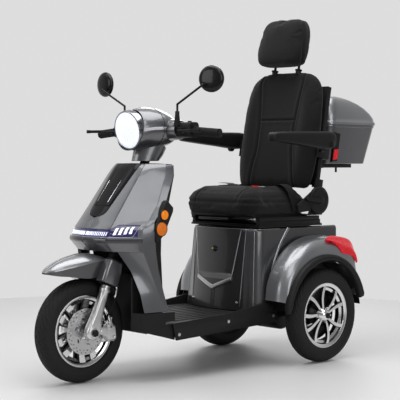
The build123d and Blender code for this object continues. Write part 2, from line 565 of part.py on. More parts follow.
base = base_solid(0, BASE_BOTTOM - 26, BASE_TOP) - base_solid(WALL, BASE_BOTTOM - 27, BASE_TOP - WALL)
POSTS = [(-300, 76), (-500, 76)]
for x, y in POSTS:
    for s in (1, -1):
        base = base - block(x - 16, x + 16, s * y - 16, s * y + 16, 500, 620)
base = base - rod((REAR_AXLE_X, -300, AXLE_Z), (REAR_AXLE_X, 300, AXLE_Z), 150)
base = base - rod((SWIVEL_X, 0, BASE_TOP - 30), (SWIVEL_X, 0, BASE_TOP + 1), SWIVEL_R + 4)
base = base - block(BASE_FRONT_X - 300, 0, -240, 240, 200, DECK_Z + 4)
base = largest(base)
PORT_Z, PORT_Y_HALF, PORT_Z_HALF = 497.0, 17.0, 14.0   # charging socket in the middle of the front
PORT_X = BASE_FRONT_X + BASE_BULGE - BASE_RAKE * (PORT_Z - BASE_BOTTOM + 26) / (BASE_TOP - BASE_BOTTOM + 26)
port = block(PORT_X - 14, PORT_X + 2, -PORT_Y_HALF, PORT_Y_HALF, PORT_Z - PORT_Z_HALF, PORT_Z + PORT_Z_HALF)
parts["seat_base"] = group(base - port, port)

FENDER = [(-112, 284), (-124, 350), (-170, 440), (-240, 510), (-330, 543), (-500, 543), (-588, 528),
          (-614, 440), (-618, 330), (-606, 284)]
FENDER_IN = [(-120, 270), (-131, 346), (-176, 434), (-243, 504), (-331, 537), (-499, 537), (-583, 523),
             (-608, 440), (-612, 330), (-612, 270)]
fender_l = side_prism(FENDER, BASE_HALF + 0.4, FENDER_OUT)
fender_l = fender_l - side_prism(FENDER_IN, BASE_HALF - 1, FENDER_OUT - 5)
fender_l = fender_l - rod((REAR_AXLE_X, 300, AXLE_Z), (REAR_AXLE_X, 400, AXLE_Z), ARCH_R)
TAIL = [(-418, 560), (-620, 560), (-640, 431), (-606, 431), (-485, 482)]
tail_zone = side_prism(TAIL, 262, 400)
tail = fender_l & tail_zone
fender_l = largest(fender_l - tail_zone)
parts["rear_fenders"] = both(fender_l)
parts["tail_lights"] = both(largest(tail))
flare = rod((REAR_AXLE_X, FENDER_OUT + 0.3, AXLE_Z), (REAR_AXLE_X, FLARE_OUT, AXLE_Z), ARCH_R + 26)
flare = flare - rod((REAR_AXLE_X, 300, AXLE_Z), (REAR_AXLE_X, 400, AXLE_Z), ARCH_R + 1)
flare = flare & side_prism([(-388, 180), (0, 232), (0, 600), (-800, 600), (-800, 300), (-388, 240)], 300, 400)
parts["fender_flares"] = both(largest(flare))
PANEL_HALF = BASE_HALF - 14
parts["rear_panel"] = block(BASE_REAR_X - 6, BASE_REAR_X - 1.5, -PANEL_HALF, PANEL_HALF, 300, 578)

BATTERY = (181.0, 77.0, 167.0)
cells = [block(-92 - BATTERY[0], -92, y, y + BATTERY[1], REAR_RAIL_Z1 + 1, REAR_RAIL_Z1 + 1 + BATTERY[2])
         for y in (-156.5, -78.5, 1.5, 79.5)]
parts["battery_pack"] = group(*cells)

platform = block(-500, -90, -212, 212, BASE_TOP + 2, RAIL_Z)
for x, y in POSTS:
    for s in (1, -1):
        platform = platform + block(x - 15, x + 15, s * y - 15, s * y + 15, REAR_RAIL_Z1 + 0.2, BASE_TOP + 3)
swivel_bore = rod((SWIVEL_X, 0, BASE_TOP - 20), (SWIVEL_X, 0, RAIL_Z + 1), SWIVEL_R + RAIL_GAP)
parts["seat_pedestal"] = platform - swivel_bore
FIXED_RAIL_Z0, FIXED_RAIL_Z1 = RAIL_Z + RAIL_GAP + 5, RAIL_Z + 20
swivel = block(-490, -96, -212, 212, RAIL_Z + RAIL_GAP, FIXED_RAIL_Z0)
swivel = swivel + rod((SWIVEL_X, 0, BASE_TOP - 8), (SWIVEL_X, 0, FIXED_RAIL_Z0), SWIVEL_R)
for s in (1, -1):
    swivel = swivel + block(-490, -96, s * RAIL_Y - 9, s * RAIL_Y + 9, FIXED_RAIL_Z0, FIXED_RAIL_Z1)
parts["swivel_plate"] = swivel

# ---------------------------------------------------------------- rear axle on its swinging arm
motor = rod((REAR_AXLE_X, -86, AXLE_Z), (REAR_AXLE_X, 86, AXLE_Z), 88)
motor = chamfer(motor.edges().filter_by(GeomType.CIRCLE), 12)
axle_rear = motor + rod((REAR_AXLE_X, -258, AXLE_Z), (REAR_AXLE_X, 258, AXLE_Z), 24)
axle_rear = axle_rear + rod((REAR_AXLE_X, -352, AXLE_Z), (REAR_AXLE_X, 352, AXLE_Z), REAR_SHAFT_R)
for s in (1, -1):
    arm_end = SWING_PIVOT[0] - 10
    axle_rear = axle_rear + block(REAR_AXLE_X, arm_end, s * 118, s * 146, AXLE_Z - 18, AXLE_Z + 18)
axle_rear = axle_rear + block(SWING_PIVOT[0] - 50, SWING_PIVOT[0] - 22, -118, 118, AXLE_Z - 16, AXLE_Z + 16)
axle_rear = axle_rear + rod((SWING_PIVOT[0], -118, SWING_PIVOT[1]), (SWING_PIVOT[0], -50, SWING_PIVOT[1]), 8)
axle_rear = axle_rear + rod((SWING_PIVOT[0], 118, SWING_PIVOT[1]), (SWING_PIVOT[0], 50, SWING_PIVOT[1]), 8)
axle_rear = axle_rear + block(SWING_PIVOT[0] - 24, SWING_PIVOT[0] + 14, 118, 146, AXLE_Z - 18, AXLE_Z + 14)
axle_rear = axle_rear + block(SWING_PIVOT[0] - 24, SWING_PIVOT[0] + 14, -118, -146, AXLE_Z - 18, AXLE_Z + 14)
parts["rear_axle_motor"] = axle_rear
shock = rod((REAR_AXLE_X, SHOCK_Y, AXLE_Z + 24.5), (REAR_AXLE_X, SHOCK_Y, SHOCK_TOP), 24)
parts["rear_shocks"] = both(shock)

# ---------------------------------------------------------------- seat
SLIDE_PLATE_FRONT = LEVER_BAR_X + 10.0   # the plate stops short of the lifting lever's arms
slide = block(-420, SLIDE_PLATE_FRONT, -192, 192, 636, 645)
for s in (1, -1):
    slide = slide + block(-480, -92, s * RAIL_Y - 12, s * RAIL_Y + 12, FIXED_RAIL_Z1 + RAIL_GAP, 636)
    slide = slide + block(-470, -380, s * 190, s * 234, 640, 645)
    plate = side_prism([(-380, 640), (-420, 730), (-466, 730), (-474, 640)], s * 229, s * 234)
    slide = slide + plate + rod((PIVOT_X, s * 221.8, PIVOT_Z), (PIVOT_X, s * 230, PIVOT_Z), 8)
parts["seat_rails"] = slide
cushion = block(SEAT_REAR, SEAT_FRONT, -SEAT_HALF, SEAT_HALF, SEAT_Z0, SEAT_Z1 - 4)
cushion = fillet(cushion.edges().filter_by(Axis.Z), 46)
cushion = fillet(cushion.edges().group_by(Axis.Z)[-1], 26)
parts["seat_cushion"] = cushion
disc_cover = rod((PIVOT_X, 235, PIVOT_Z), (PIVOT_X, 252, PIVOT_Z), 64)
disc_cover = disc_cover + side_prism([(-380, 660), (-300, 652), (-296, 690), (-392, 752)], 235, 246)
parts["recliner_covers"] = both(disc_cover)

# ---------------------------------------------------------------- backrest, headrest, armrests
back_half = [(212, BACK_LOW), (216, 100), (235, 140), (235, 395), (216, 490), (176, 548), (120, BACK_TOP)]
back_front = back_half + [(-y, z) for y, z in reversed(back_half)]
pad = front_prism(back_front, BACK_REAR, BACK_FRONT)
for s in (1, -1):
    pad = pad - rod((POST_B, s * POST_Y, 430), (POST_B, s * POST_Y, 620), POST_R + 1)
parts["backrest"] = BACK * pad
headpad = block(38, 156, -139, 139, HEAD_LOW, HEAD_TOP)
headpad = fillet(headpad.edges().filter_by(Axis.X), 60)
headpad = fillet(headpad.edges().group_by(Axis.X)[-1], 24)
post_solids = []
for s in (1, -1):
    headpad = headpad - rod((POST_B, s * POST_Y, HEAD_LOW - 10), (POST_B, s * POST_Y, HEAD_LOW + 70), POST_R)
    post_solids.append(rod((POST_B, s * POST_Y, 440), (POST_B, s * POST_Y, HEAD_LOW + 70), POST_R))
parts["headrest"] = BACK * group(headpad, *post_solids)

upright = block(-28, BACK_REAR - 1, 186, 208, 60, 520)
hinge_plate = block(-28, 22, 222, 228, -22, 96) + block(-28, BACK_REAR - 1, 186, 228, 60, 92)
hinge_plate = hinge_plate - rod((0, 215, 0), (0, 235, 0), 8.5)
arm_local = BACK.to_local_coords(Vector(ARM_PIVOT[0], 0, ARM_PIVOT[1]))
bracket = block(-28, BACK_REAR - 1, 186, 244, arm_local.Z - 60, arm_local.Z + 20)
bracket = bracket + block(-28, arm_local.X + 20, 238, 244, arm_local.Z - 60, arm_local.Z + 20)
bracket = bracket + rod((arm_local.X, 240, arm_local.Z), (arm_local.X, 300, arm_local.Z), 9)
half = upright + hinge_plate + bracket
bframe = half + mirror(half, Plane.XZ)
bframe = bframe + block(-16, BACK_REAR - 1, -188, 188, 70, 520)
bframe = BACK * bframe
rack = block(-836, -505, -100, 100, BOX_Z0 - 18, BOX_Z0 - 0.5)
rack = rack + block(-530, -490, -190, 190, BOX_Z0 - 18, BOX_Z0 - 0.5)
back_room = BACK * block(-28, 300, -240, 240, 0, 500)
rack = rack - back_room
for x in (-620, -760):
    for y in (-70, 70):
        rack = rack + rod((x, y, BOX_Z0 - 40), (x, y, BOX_Z0 - 17), 5)
parts["backrest_frame"] = bframe + rack

arm_profile = [(-78, 1000), (-484, 1012), (-494, 985), (-490, 940), (-462, 928), (-410, 928), (-300, 948),
               (-84, 964)]
arm_x, arm_z = ARM_PIVOT
armrest = side_prism(arm_profile, ARM_Y0, ARM_Y1) - rod((arm_x, 240, arm_z), (arm_x, 301, arm_z), 9.5)
armrest = chamfer(armrest.edges().filter_by(Axis.Y), 4)
parts["armrest_left"] = armrest
parts["armrest_right"] = mirror(armrest, Plane.XZ)

# ---------------------------------------------------------------- top box
def box_plan(front, rear, half, z):
    c = 40
    return (z, ring_of([(front, half - 12), (front - 12, half), (rear + c, half), (rear, half - c)]))


tub_outer = ruled([box_plan(BOX_FRONT - 2, -846, BOX_HALF - 22, BOX_Z0),
                   box_plan(BOX_FRONT, BOX_REAR + 10, BOX_HALF - 4, BOX_RIM)])
tub = tub_outer - ruled([box_plan(BOX_FRONT - 6, -842, BOX_HALF - 26, BOX_Z0 + WALL),
                         box_plan(BOX_FRONT - 4, BOX_REAR + 14, BOX_HALF - 8, BOX_RIM + 0.1)])
HINGE_PIN_R = 2.5
EAR_HALF = 3.3                 # small enough for the lid's rear wall to swing round the ears
ears = rod((HINGE_X, -69, HINGE_Z), (HINGE_X, 69, HINGE_Z), HINGE_PIN_R)
for s in (1, -1):
    ears = ears + block(HINGE_X - EAR_HALF, BOX_REAR + 13, s * 61, s * 69, HINGE_Z - 12, HINGE_Z - 5)
    x0, x1 = HINGE_X - EAR_HALF, HINGE_X + EAR_HALF
    ears = ears + block(x0, x1, s * 61, s * 69, HINGE_Z - 12, HINGE_Z + EAR_HALF)
tub = tub + ears
lamp_outline = [(BOX_HALF - 21, 878), (BOX_HALF - 12, 1006), (BOX_HALF + 4, 1006), (BOX_HALF - 6, 878)]
lamp = front_prism(lamp_outline, -622, -590)
lamp = largest(lamp - tub_outer)
parts["top_box"] = group(tub, both(lamp))
lid_side = [(BOX_FRONT, BOX_RIM + 1), (BOX_REAR, BOX_RIM + 1), (BOX_REAR + 4, 1074), (-860, 1116),
            (-780, 1156), (-690, 1176), (-620, BOX_TOP), (BOX_FRONT - 6, 1170)]
lid_in = [(BOX_FRONT - 4, BOX_RIM - 1), (BOX_REAR + 4, BOX_RIM - 1), (BOX_REAR + 8, 1072), (-858, 1112),
          (-778, 1152), (-689, 1172), (-620, BOX_TOP - 4), (BOX_FRONT - 10, 1166)]
lid_half = [(BOX_HALF, BOX_RIM), (BOX_HALF, 1070), (BOX_HALF - 12, 1140), (BOX_HALF - 50, BOX_TOP)]
lid_front = lid_half + [(-y, z) for y, z in reversed(lid_half)]
half_in = [(y - WALL, z - 1 - (2 * WALL if z == BOX_TOP else 0)) for y, z in lid_half]
front_in = half_in + [(-y, z) for y, z in reversed(half_in)]
plan_rim = box_plan(BOX_FRONT, BOX_REAR, BOX_HALF, 0)[1]
plan_rim_in = box_plan(BOX_FRONT - 4, BOX_REAR + 4, BOX_HALF - 4, 0)[1]
lid = side_prism(lid_side, -BOX_HALF, BOX_HALF) & front_prism(lid_front, BOX_REAR - 10, BOX_FRONT + 10)
lid = lid & plan_prism(plan_rim, 1000, 1300)
lid = lid - (side_prism(lid_in, -BOX_HALF, BOX_HALF) & front_prism(front_in, BOX_REAR - 10, BOX_FRONT + 10)
             & plan_prism(plan_rim_in, 1000, 1300))
knuckle = rod((HINGE_X, -60, HINGE_Z), (HINGE_X, 60, HINGE_Z), 5)
knuckle = knuckle + block(HINGE_X, BOX_REAR + 3, -60, 60, HINGE_Z - 1.5, HINGE_Z + 3)
knuckle = knuckle - rod((HINGE_X, -61, HINGE_Z), (HINGE_X, 61, HINGE_Z), HINGE_PIN_R + 0.05)
LATCH = (-606.0, 0.0)          # push button in the front of the lid's top
lid = lid + knuckle
lid = lid + block(LATCH[0] - 34, LATCH[0] + 18, -34, 34, BOX_TOP - 6, BOX_TOP + 6)
lid = lid - block(LATCH[0] - 12, LATCH[0] + 12, -22, 22, BOX_TOP - 20, BOX_TOP + 7)
parts["box_lid"] = lid
parts["box_latch"] = block(LATCH[0] - 11.4, LATCH[0] + 11.4, -21.4, 21.4, BOX_TOP - 2, BOX_TOP + 9)

# ---------------------------------------------------------------- small pieces
recline = rod((PIVOT_X, 253, PIVOT_Z), (PIVOT_X, 262, PIVOT_Z), 16)
handle = [(PIVOT_X, 716), (-352, 724), (-344, 712), (-352, 704), (PIVOT_X, 694)]
recline = recline + side_prism(handle, 254, 262)
parts["recline_lever"] = recline
towel = rod((LEVER_BAR_X, -60, SLIDE_LEVER_Z), (LEVER_BAR_X, 60, SLIDE_LEVER_Z), 5)
towel = towel + rod((-24, -90, SLIDE_LEVER_Z), (-24, 90, SLIDE_LEVER_Z), 6)
for s in (1, -1):
    towel = towel + rod((LEVER_BAR_X, s * 60, SLIDE_LEVER_Z), (-24, s * 60, SLIDE_LEVER_Z), 5)
parts["slide_lever"] = towel
BELT_W = 46.0
belt_z = SEAT_Z1 - 3.6
belt = block(-300, -300 + BELT_W, -SEAT_HALF + 60, SEAT_HALF - 50, belt_z, belt_z + 3)
belt = belt + block(-306, -248, 20, 88, belt_z, belt_z + 17)
parts["lap_belt"] = belt
screws = []
for s in (1, -1):
    screws.append(rod((398, s * (DECK_HALF + SKIRT_T), 186), (398, s * (DECK_HALF + SKIRT_T + 4), 186), 7))
    screws.append(rod((-154, s * (DECK_HALF + SKIRT_T), 214), (-154, s * (DECK_HALF + SKIRT_T + 4), 214), 7))
    screws.append(rod((120, s * (DECK_HALF + SKIRT_T), 214), (120, s * (DECK_HALF + SKIRT_T + 4), 214), 7))
parts["cover_screws"] = group(*screws)


def main():
    os.makedirs("parts", exist_ok=True)
    for name, shape in parts.items():
        export_step(shape, f"parts/{name}.step")
    print(len(parts), "nodes")


main()
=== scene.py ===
# %% [markdown]
# A three-wheeled mobility scooter, dressed for a portrait.
# The engineering model arrives first: every tube, axle and shell is already at its real size and place. This
# file gives each piece the shape and finish that a hand or an eye would notice, and leaves the sizes alone.

# %% load the engineering model
import math

import bpy
import bmesh
import numpy as np
from mathutils import Matrix, Vector


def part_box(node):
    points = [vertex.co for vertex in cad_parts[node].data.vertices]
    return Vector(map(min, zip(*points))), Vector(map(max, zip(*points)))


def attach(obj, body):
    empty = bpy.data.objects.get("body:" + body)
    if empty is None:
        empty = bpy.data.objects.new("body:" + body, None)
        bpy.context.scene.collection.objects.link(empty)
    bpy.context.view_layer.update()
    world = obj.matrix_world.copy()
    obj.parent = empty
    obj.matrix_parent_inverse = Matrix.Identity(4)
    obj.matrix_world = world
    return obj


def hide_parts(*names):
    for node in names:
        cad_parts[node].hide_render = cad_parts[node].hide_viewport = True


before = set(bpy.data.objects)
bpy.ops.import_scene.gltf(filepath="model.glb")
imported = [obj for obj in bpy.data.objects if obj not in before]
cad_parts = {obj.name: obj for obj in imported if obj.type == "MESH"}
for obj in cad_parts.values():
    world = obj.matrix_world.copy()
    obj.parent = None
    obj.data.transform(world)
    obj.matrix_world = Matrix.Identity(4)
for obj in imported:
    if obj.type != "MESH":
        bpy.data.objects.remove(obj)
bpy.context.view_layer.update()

# %% [markdown]
# The camera stands ahead of the scooter on the rider's left, about ninety centimetres above the floor, and
# looks down by two degrees. A long lens keeps the proportions calm. The camera's axes are worked out from its
# heading and its pitch, so no target object is needed.

# %% camera
CAMERA_PLACE = Vector((3.7094, 3.8360, 0.9106))
CAMERA_HEADING, CAMERA_PITCH, CAMERA_ROLL = (math.radians(a) for a in (46.416, 2.178, 0.42))
LENS_MM = 110.56

back_dir = Vector((math.cos(CAMERA_HEADING) * math.cos(CAMERA_PITCH),
                   math.sin(CAMERA_HEADING) * math.cos(CAMERA_PITCH), math.sin(CAMERA_PITCH)))
right_dir = Vector((0, 0, 1)).cross(back_dir).normalized()
up_dir = back_dir.cross(right_dir)
camera = bpy.data.objects.new("camera", bpy.data.cameras.new("camera"))
bpy.context.scene.collection.objects.link(camera)
camera.data.lens = LENS_MM
camera.data.dof.use_dof = False
turn = Matrix((right_dir, up_dir, back_dir)).transposed().to_4x4()
camera.matrix_world = Matrix.Translation(CAMERA_PLACE) @ turn @ Matrix.Rotation(CAMERA_ROLL, 4, "Z")
bpy.context.scene.camera = camera
print("camera", [round(v, 3) for v in camera.location])

# %% [markdown]
# A studio for a dark, glossy object is mostly large white surfaces: the panels show what stands round them.
# One big softbox hangs overhead, two more stand on the left and in front, and three small ones light the
# seat, the nose and the far edge. The world itself is a pale grey room that darkens behind the camera.

# %% studio
FLOOR_RADIUS = 2.6


def softbox(name, place, aim, size, watts):
    lamp = bpy.data.lights.new(name, "AREA")
    lamp.shape, lamp.size, lamp.size_y, lamp.energy = "RECTANGLE", size[0], size[1], watts
    made = bpy.data.objects.new(name, lamp)
    bpy.context.scene.collection.objects.link(made)
    made.location = place
    made.rotation_euler = (Vector(aim) - Vector(place)).to_track_quat("-Z", "Y").to_euler()


softbox("key", (1.55, 2.25, 3.3), (0.5, 0.15, 0.7), (1.5, 1.3), 17)
softbox("nose_light", (2.0, -1.6, 3.1), (0.6, 0, 0.7), (1.3, 1.3), 7)
softbox("overhead", (0.2, 0.3, 3.6), (0, 0, 0), (3.4, 2.6), 105)
softbox("left_bank", (1.2, 4.2, 1.9), (0, 0, 0.6), (2.4, 2.2), 42)
softbox("front_bank", (4.6, -0.6, 2.0), (0, 0, 0.6), (2.4, 2.2), 46)
softbox("rim_light", (-2.8, -2.6, 2.6), (0, 0, 0.7), (1.6, 1.6), 40)
world = bpy.data.worlds.new("pale_room")
bpy.context.scene.world = world
world.use_nodes = True
room = world.node_tree
facing = room.nodes.new("ShaderNodeTexCoord")
split = room.nodes.new("ShaderNodeVectorMath")
split.operation = "DOT_PRODUCT"
split.inputs[1].default_value = (-0.69, -0.72, 0.0)
room.links.new(facing.outputs["Generated"], split.inputs[0])
fade = room.nodes.new("ShaderNodeMapRange")
fade.inputs["From Min"].default_value, fade.inputs["From Max"].default_value = -0.2, 0.75
fade.inputs["To Min"].default_value, fade.inputs["To Max"].default_value = 0.3, 1.0
room.links.new(split.outputs["Value"], fade.inputs["Value"])
room.links.new(fade.outputs["Result"], room.nodes["Background"].inputs[1])
room.nodes["Background"].inputs[0].default_value = (0.73, 0.725, 0.725, 1)
bpy.context.scene.view_settings.view_transform = "Standard"

# %% [markdown]
# Shader maths reads best as plain expressions. Value wraps one output socket and overloads the operators, so
# that 1 - mask * 0.4 adds its own Math nodes. Finish is one material: it makes nodes and plugs what varies
# into the shader.

# %% shader expressions


class Value:
    def __init__(self, finish, socket):
        self.finish, self.socket = finish, socket

    def maths(self, operation, other=0.0, swapped=False):
        pair = (other, self) if swapped else (self, other)
        node = self.finish.node("ShaderNodeMath", {"operation": operation}, {0: pair[0], 1: pair[1]})
        return Value(self.finish, node.outputs[0])

    def __add__(self, other): return self.maths("ADD", other)
    def __sub__(self, other): return self.maths("SUBTRACT", other)
    def __mul__(self, other): return self.maths("MULTIPLY", other)
    def __radd__(self, other): return self.maths("ADD", other, True)
    def __rsub__(self, other): return self.maths("SUBTRACT", other, True)
    def __rmul__(self, other): return self.maths("MULTIPLY", other, True)


class Finish:
    def __init__(self, name, colour, roughness, metallic=0.0, **fixed):
        self.material = bpy.data.materials.new(name)
        self.material.use_nodes = True
        self.tree = self.material.node_tree
        self.shader = self.tree.nodes["Principled BSDF"]
        self.set("Base Color", (*colour, 1.0))
        self.set("Roughness", roughness)
        self.set("Metallic", metallic)
        for socket, value in fixed.items():
            self.set(socket.replace("_", " "), value)
        self.place = self.node("ShaderNodeTexCoord").outputs["Object"]

    def set(self, socket, value):
        if isinstance(value, Value):
            self.tree.links.new(value.socket, self.shader.inputs[socket])
        else:
            self.shader.inputs[socket].default_value = value

    def node(self, kind, settings=None, values=None):
        made = self.tree.nodes.new(kind)
        for key, value in (settings or {}).items():
            setattr(made, key, value)
        for key, value in (values or {}).items():
            if isinstance(value, Value):
                value = value.socket
            if isinstance(value, bpy.types.NodeSocket):
                self.tree.links.new(value, made.inputs[key])
            else:
                made.inputs[key].default_value = value
        return made

    def noise(self, scale, detail=2.0, rough=0.5, stretch=(1, 1, 1)):
        space = self.node("ShaderNodeMapping", {}, {"Vector": self.place, "Scale": stretch})
        made = self.node("ShaderNodeTexNoise", {}, {"Vector": space.outputs[0], "Scale": scale,
                                                    "Detail": detail, "Roughness": rough})
        return Value(self, made.outputs["Fac"])

    def axis(self, letter):
        split = self.node("ShaderNodeSeparateXYZ", {}, {0: self.place})
        return Value(self, split.outputs["XYZ".index(letter)])

    def mix(self, share, low, high):
        """Colour between low and high, each a colour or a Value holding one."""
        made = self.node("ShaderNodeMix", {"data_type": "RGBA"})
        self.tree.links.new(share.socket, made.inputs["Factor"])
        for socket, colour in ((made.inputs[6], low), (made.inputs[7], high)):
            if isinstance(colour, Value):
                self.tree.links.new(colour.socket, socket)
            else:
                socket.default_value = (*colour, 1.0)
        return Value(self, made.outputs[2])

    def bump(self, height, depth, strength=1.0):
        made = self.node("ShaderNodeBump", {}, {"Height": height, "Distance": depth, "Strength": strength})
        self.set("Normal", Value(self, made.outputs[0]))


# %% [markdown]
# The covers are ABS in a metallic charcoal under clear lacquer. Real metallic paint sparkles because its
# flakes lie at slightly different angles, and a moulded shell is never optically flat: a fine noise wavers
# the roughness and a broad, shallow one bends the reflections by a fraction of a degree.

# %% paint and plastics


def paint(name, colour, dark, metallic=0.55, coat=0.8, shine=0.5):
    made = Finish(name, colour, 0.3, metallic, Coat_Weight=coat, Coat_Roughness=0.05)
    made.set("Specular IOR Level", shine)
    flakes = made.noise(2600, 1)
    made.set("Roughness", 0.24 + flakes * 0.14)
    made.set("Base Color", made.mix((flakes * 0.6 + made.noise(9, 2) * 0.4), dark, colour))
    made.bump(made.noise(26, 1) + flakes * 0.02, 0.0011, 0.35)
    return made.material


def moulded(name, colour, roughness, grain=900, depth=0.00025):
    """Textured plastic: a leathery mould grain, and patches that hands have polished a little."""
    made = Finish(name, colour, roughness)
    made.set("Specular IOR Level", 0.22)
    grainy = made.noise(grain, 3, 0.6)
    worn = made.noise(14, 3)
    made.set("Roughness", roughness - 0.1 + worn * 0.16 + grainy * 0.06)
    made.set("Base Color", made.mix(worn, tuple(c * 0.82 for c in colour), tuple(c * 1.25 for c in colour)))
    made.bump(grainy, depth)
    return made.material


def metal(name, colour, roughness, scale=600, stretch=(1, 1, 1), depth=0.0001, metallic=1.0):
    """Metal with a fine directional grain and a faint cloudiness from handling."""
    made = Finish(name, colour, roughness, metallic)
    grain = made.noise(scale, 2, 0.55, stretch)
    cloud = made.noise(22, 3)
    made.set("Roughness", roughness - 0.06 + grain * 0.1 + cloud * 0.07)
    made.set("Base Color", made.mix(cloud, tuple(c * 0.88 for c in colour), colour))
    made.bump(grain, depth, 0.6)
    return made.material


CHARCOAL = paint("metallic_charcoal", (0.165, 0.169, 0.18), (0.11, 0.113, 0.121), 0.75)
# The next three are the same charcoal made darker or lighter. The first is painted shade for faces in shadow,
# the second is painted light for upper faces that catch the lamps, and the third is a painted highlight for
# thin edges and folds.
CHARCOAL_PAINTED_SHADE = paint("metallic_charcoal_painted_shade", (0.085, 0.087, 0.092), (0.055, 0.056, 0.06), 0.7)
CHARCOAL_PAINTED_LIGHT = paint("metallic_charcoal_painted_light", (0.29, 0.296, 0.312), (0.2, 0.205, 0.216), 0.72)
CHARCOAL_PAINTED_HIGHLIGHT = paint("metallic_charcoal_painted_highlight", (0.42, 0.43, 0.45), (0.32, 0.33, 0.35), 0.8)
GLOSS_SHELL = paint("gloss_black_shell", (0.006, 0.006, 0.007), (0.004, 0.004, 0.005), 0.0, 0.3, 0.15)
GLOSS_BLACK = paint("gloss_black_insert", (0.006, 0.006, 0.008), (0.003, 0.003, 0.004), 0.0, 0.22, 0.08)
BLACK_PLASTIC = moulded("grained_black_plastic", (0.0085, 0.0085, 0.009), 0.5)
DECK_RUBBER = moulded("footboard_mat", (0.016, 0.016, 0.0165), 0.6, 420, 0.0005)
POWDER = moulded("black_powder_coat", (0.007, 0.007, 0.0075), 0.42, 1500, 0.00012)
SATIN_BLACK = moulded("satin_black", (0.006, 0.006, 0.0065), 0.3, 1800, 0.00006)
ALLOY = metal("cast_alloy", (0.74, 0.745, 0.75), 0.34)
POLISHED = metal("polished_alloy", (0.86, 0.865, 0.87), 0.16, 1100)
STEEL = metal("ground_steel", (0.62, 0.62, 0.63), 0.3, 900)
CHROME = metal("chrome_plate", (0.88, 0.89, 0.9), 0.07, 300, depth=0.00002)
DARK_CHROME = metal("dark_chrome", (0.3, 0.31, 0.33), 0.12, 300, depth=0.00002)
RUBBER_GRIP = moulded("grip_rubber", (0.009, 0.009, 0.0095), 0.68, 1300, 0.0002)

# %% [markdown]
# Tyre rubber is almost black but never even: a fine grain roughens it, and a broad cloudiness makes parts of
# it a little browner and duller, as dust and bloom do.

# %% tyre rubber


def tyre_rubber():
    made = Finish("tyre_rubber", (0.016, 0.016, 0.017), 0.62)
    made.set("Specular IOR Level", 0.26)
    fine, cloud = made.noise(1400, 3, 0.6), made.noise(12, 3)
    made.set("Roughness", 0.56 + fine * 0.1 + cloud * 0.12)
    made.set("Base Color", made.mix(cloud, (0.007, 0.007, 0.0075), (0.014, 0.0137, 0.0135)))
    made.bump(fine + made.noise(90, 2) * 0.5, 0.00022)
    return made.material


TYRE = tyre_rubber()

# %% [markdown]
# Seat cloth: a coarse black weave whose threads stand up less than half a millimetre, with a soft sheen at
# grazing angles. Two sets of waves cross each other, and their product is the thread on top. Waves follow the
# piece's axes, so the weave needs no unwrapping, and a slow noise makes the nap catch the light unevenly, as
# a used seat does.

# %% seat cloth
THREAD_PITCH = 0.0021


def woven(name, colour, pitch, depth, roughness=0.86, sheen=0.1):
    made = Finish(name, colour, roughness, Sheen_Weight=sheen, Sheen_Roughness=0.5)
    made.set("Specular IOR Level", 0.1)
    turns = 2 * math.pi / pitch
    across = (made.axis("Y") + made.axis("X") * 0.35) * turns
    along = (made.axis("Z") + made.axis("X") * 0.9) * turns
    warp, weft = across.maths("SINE"), along.maths("SINE")
    thread = (warp * weft) * 0.5 + 0.5
    nap = made.noise(34, 3)
    made.set("Base Color", made.mix(thread * 0.6 + nap * 0.4, tuple(c * 0.55 for c in colour),
                                    tuple(c * 1.5 for c in colour)))
    made.set("Roughness", roughness - 0.08 + nap * 0.12)
    made.bump(thread + made.noise(260, 2) * 0.4, depth)
    return made.material


SEAT_CLOTH = woven("seat_cloth", (0.0088, 0.0088, 0.0094), THREAD_PITCH, 0.0004)
BELT_WEB = woven("belt_webbing", (0.009, 0.009, 0.01), 0.0016, 0.0003, 0.6, 0.05)
ARM_SKIN = moulded("arm_vinyl", (0.007, 0.007, 0.0075), 0.48, 700, 0.0003)

# %% [markdown]
# Lamps. A lens is clear or coloured plastic over a bright reflector; seen from outside its pattern of small
# prisms matters more than its transparency, so the prisms are bump and the glow is emission.

# %% lamp finishes


def lens_finish(name, colour, glow, strength, pitch=0.004, roughness=0.12, coat=1.0):
    made = Finish(name, colour, roughness, Coat_Weight=coat, Coat_Roughness=0.03)
    made.set("Specular IOR Level", 0.5 * coat)
    made.set("Emission Strength", strength)
    prisms = ((made.axis("X") + made.axis("Y")) * (2 * math.pi / pitch)).maths("SINE") \
        * (made.axis("Z") * (2 * math.pi / pitch)).maths("SINE")
    made.set("Base Color", made.mix(prisms * 0.5 + 0.5, tuple(c * 0.6 for c in colour), colour))
    made.set("Emission Color", made.mix(prisms * 0.5 + 0.5, tuple(c * 0.75 for c in glow), glow))
    made.bump(prisms, 0.0006)
    return made.material


AMBER = lens_finish("amber_lens", (0.8, 0.2, 0.004), (0.95, 0.27, 0.004), 0.42, coat=0.4)
AMBER_DEEP = lens_finish("amber_lens_deep", (0.7, 0.16, 0.003), (0.85, 0.2, 0.003), 0.26, coat=0.4)
RED_LENS = lens_finish("red_lens", (0.5, 0.0, 0.008), (0.8, 0.0, 0.012), 0.38, 0.006, coat=0.3)
HEAD_GLOW = lens_finish("headlight_glow", (0.9, 0.93, 1.0), (0.80, 0.87, 1.0), 0.72, 0.012)
LED_WHITE = lens_finish("led_white", (0.9, 0.92, 1.0), (0.74, 0.78, 1.0), 1.05, 0.02)
LED_BLUE = lens_finish("led_blue_strip", (0.006, 0.006, 0.02), (0.07, 0.05, 0.42), 0.22, 0.02)
# The green mark on the charge flap is no lamp, yet this finish gives it an emission glow: a painted glow.
GREEN_MARK_PAINTED_GLOW = lens_finish("charge_mark_green_painted_glow", (0.35, 0.42, 0.02), (0.4, 0.5, 0.02), 0.2)
MIRROR_GLASS = metal("mirror_glass", (0.9, 0.91, 0.92), 0.03, 60, depth=0.00001)
print("finishes made:", len(bpy.data.materials))

# %% [markdown]
# Shapes are lists of points in millimetres until the moment they become an object. Two makers cover most of
# the scooter: loft skins a row of closed outlines, and lathe spins a profile. Everything becomes quads, which
# take subdivision and bevels well.

# %% shape helpers
MM = 0.001


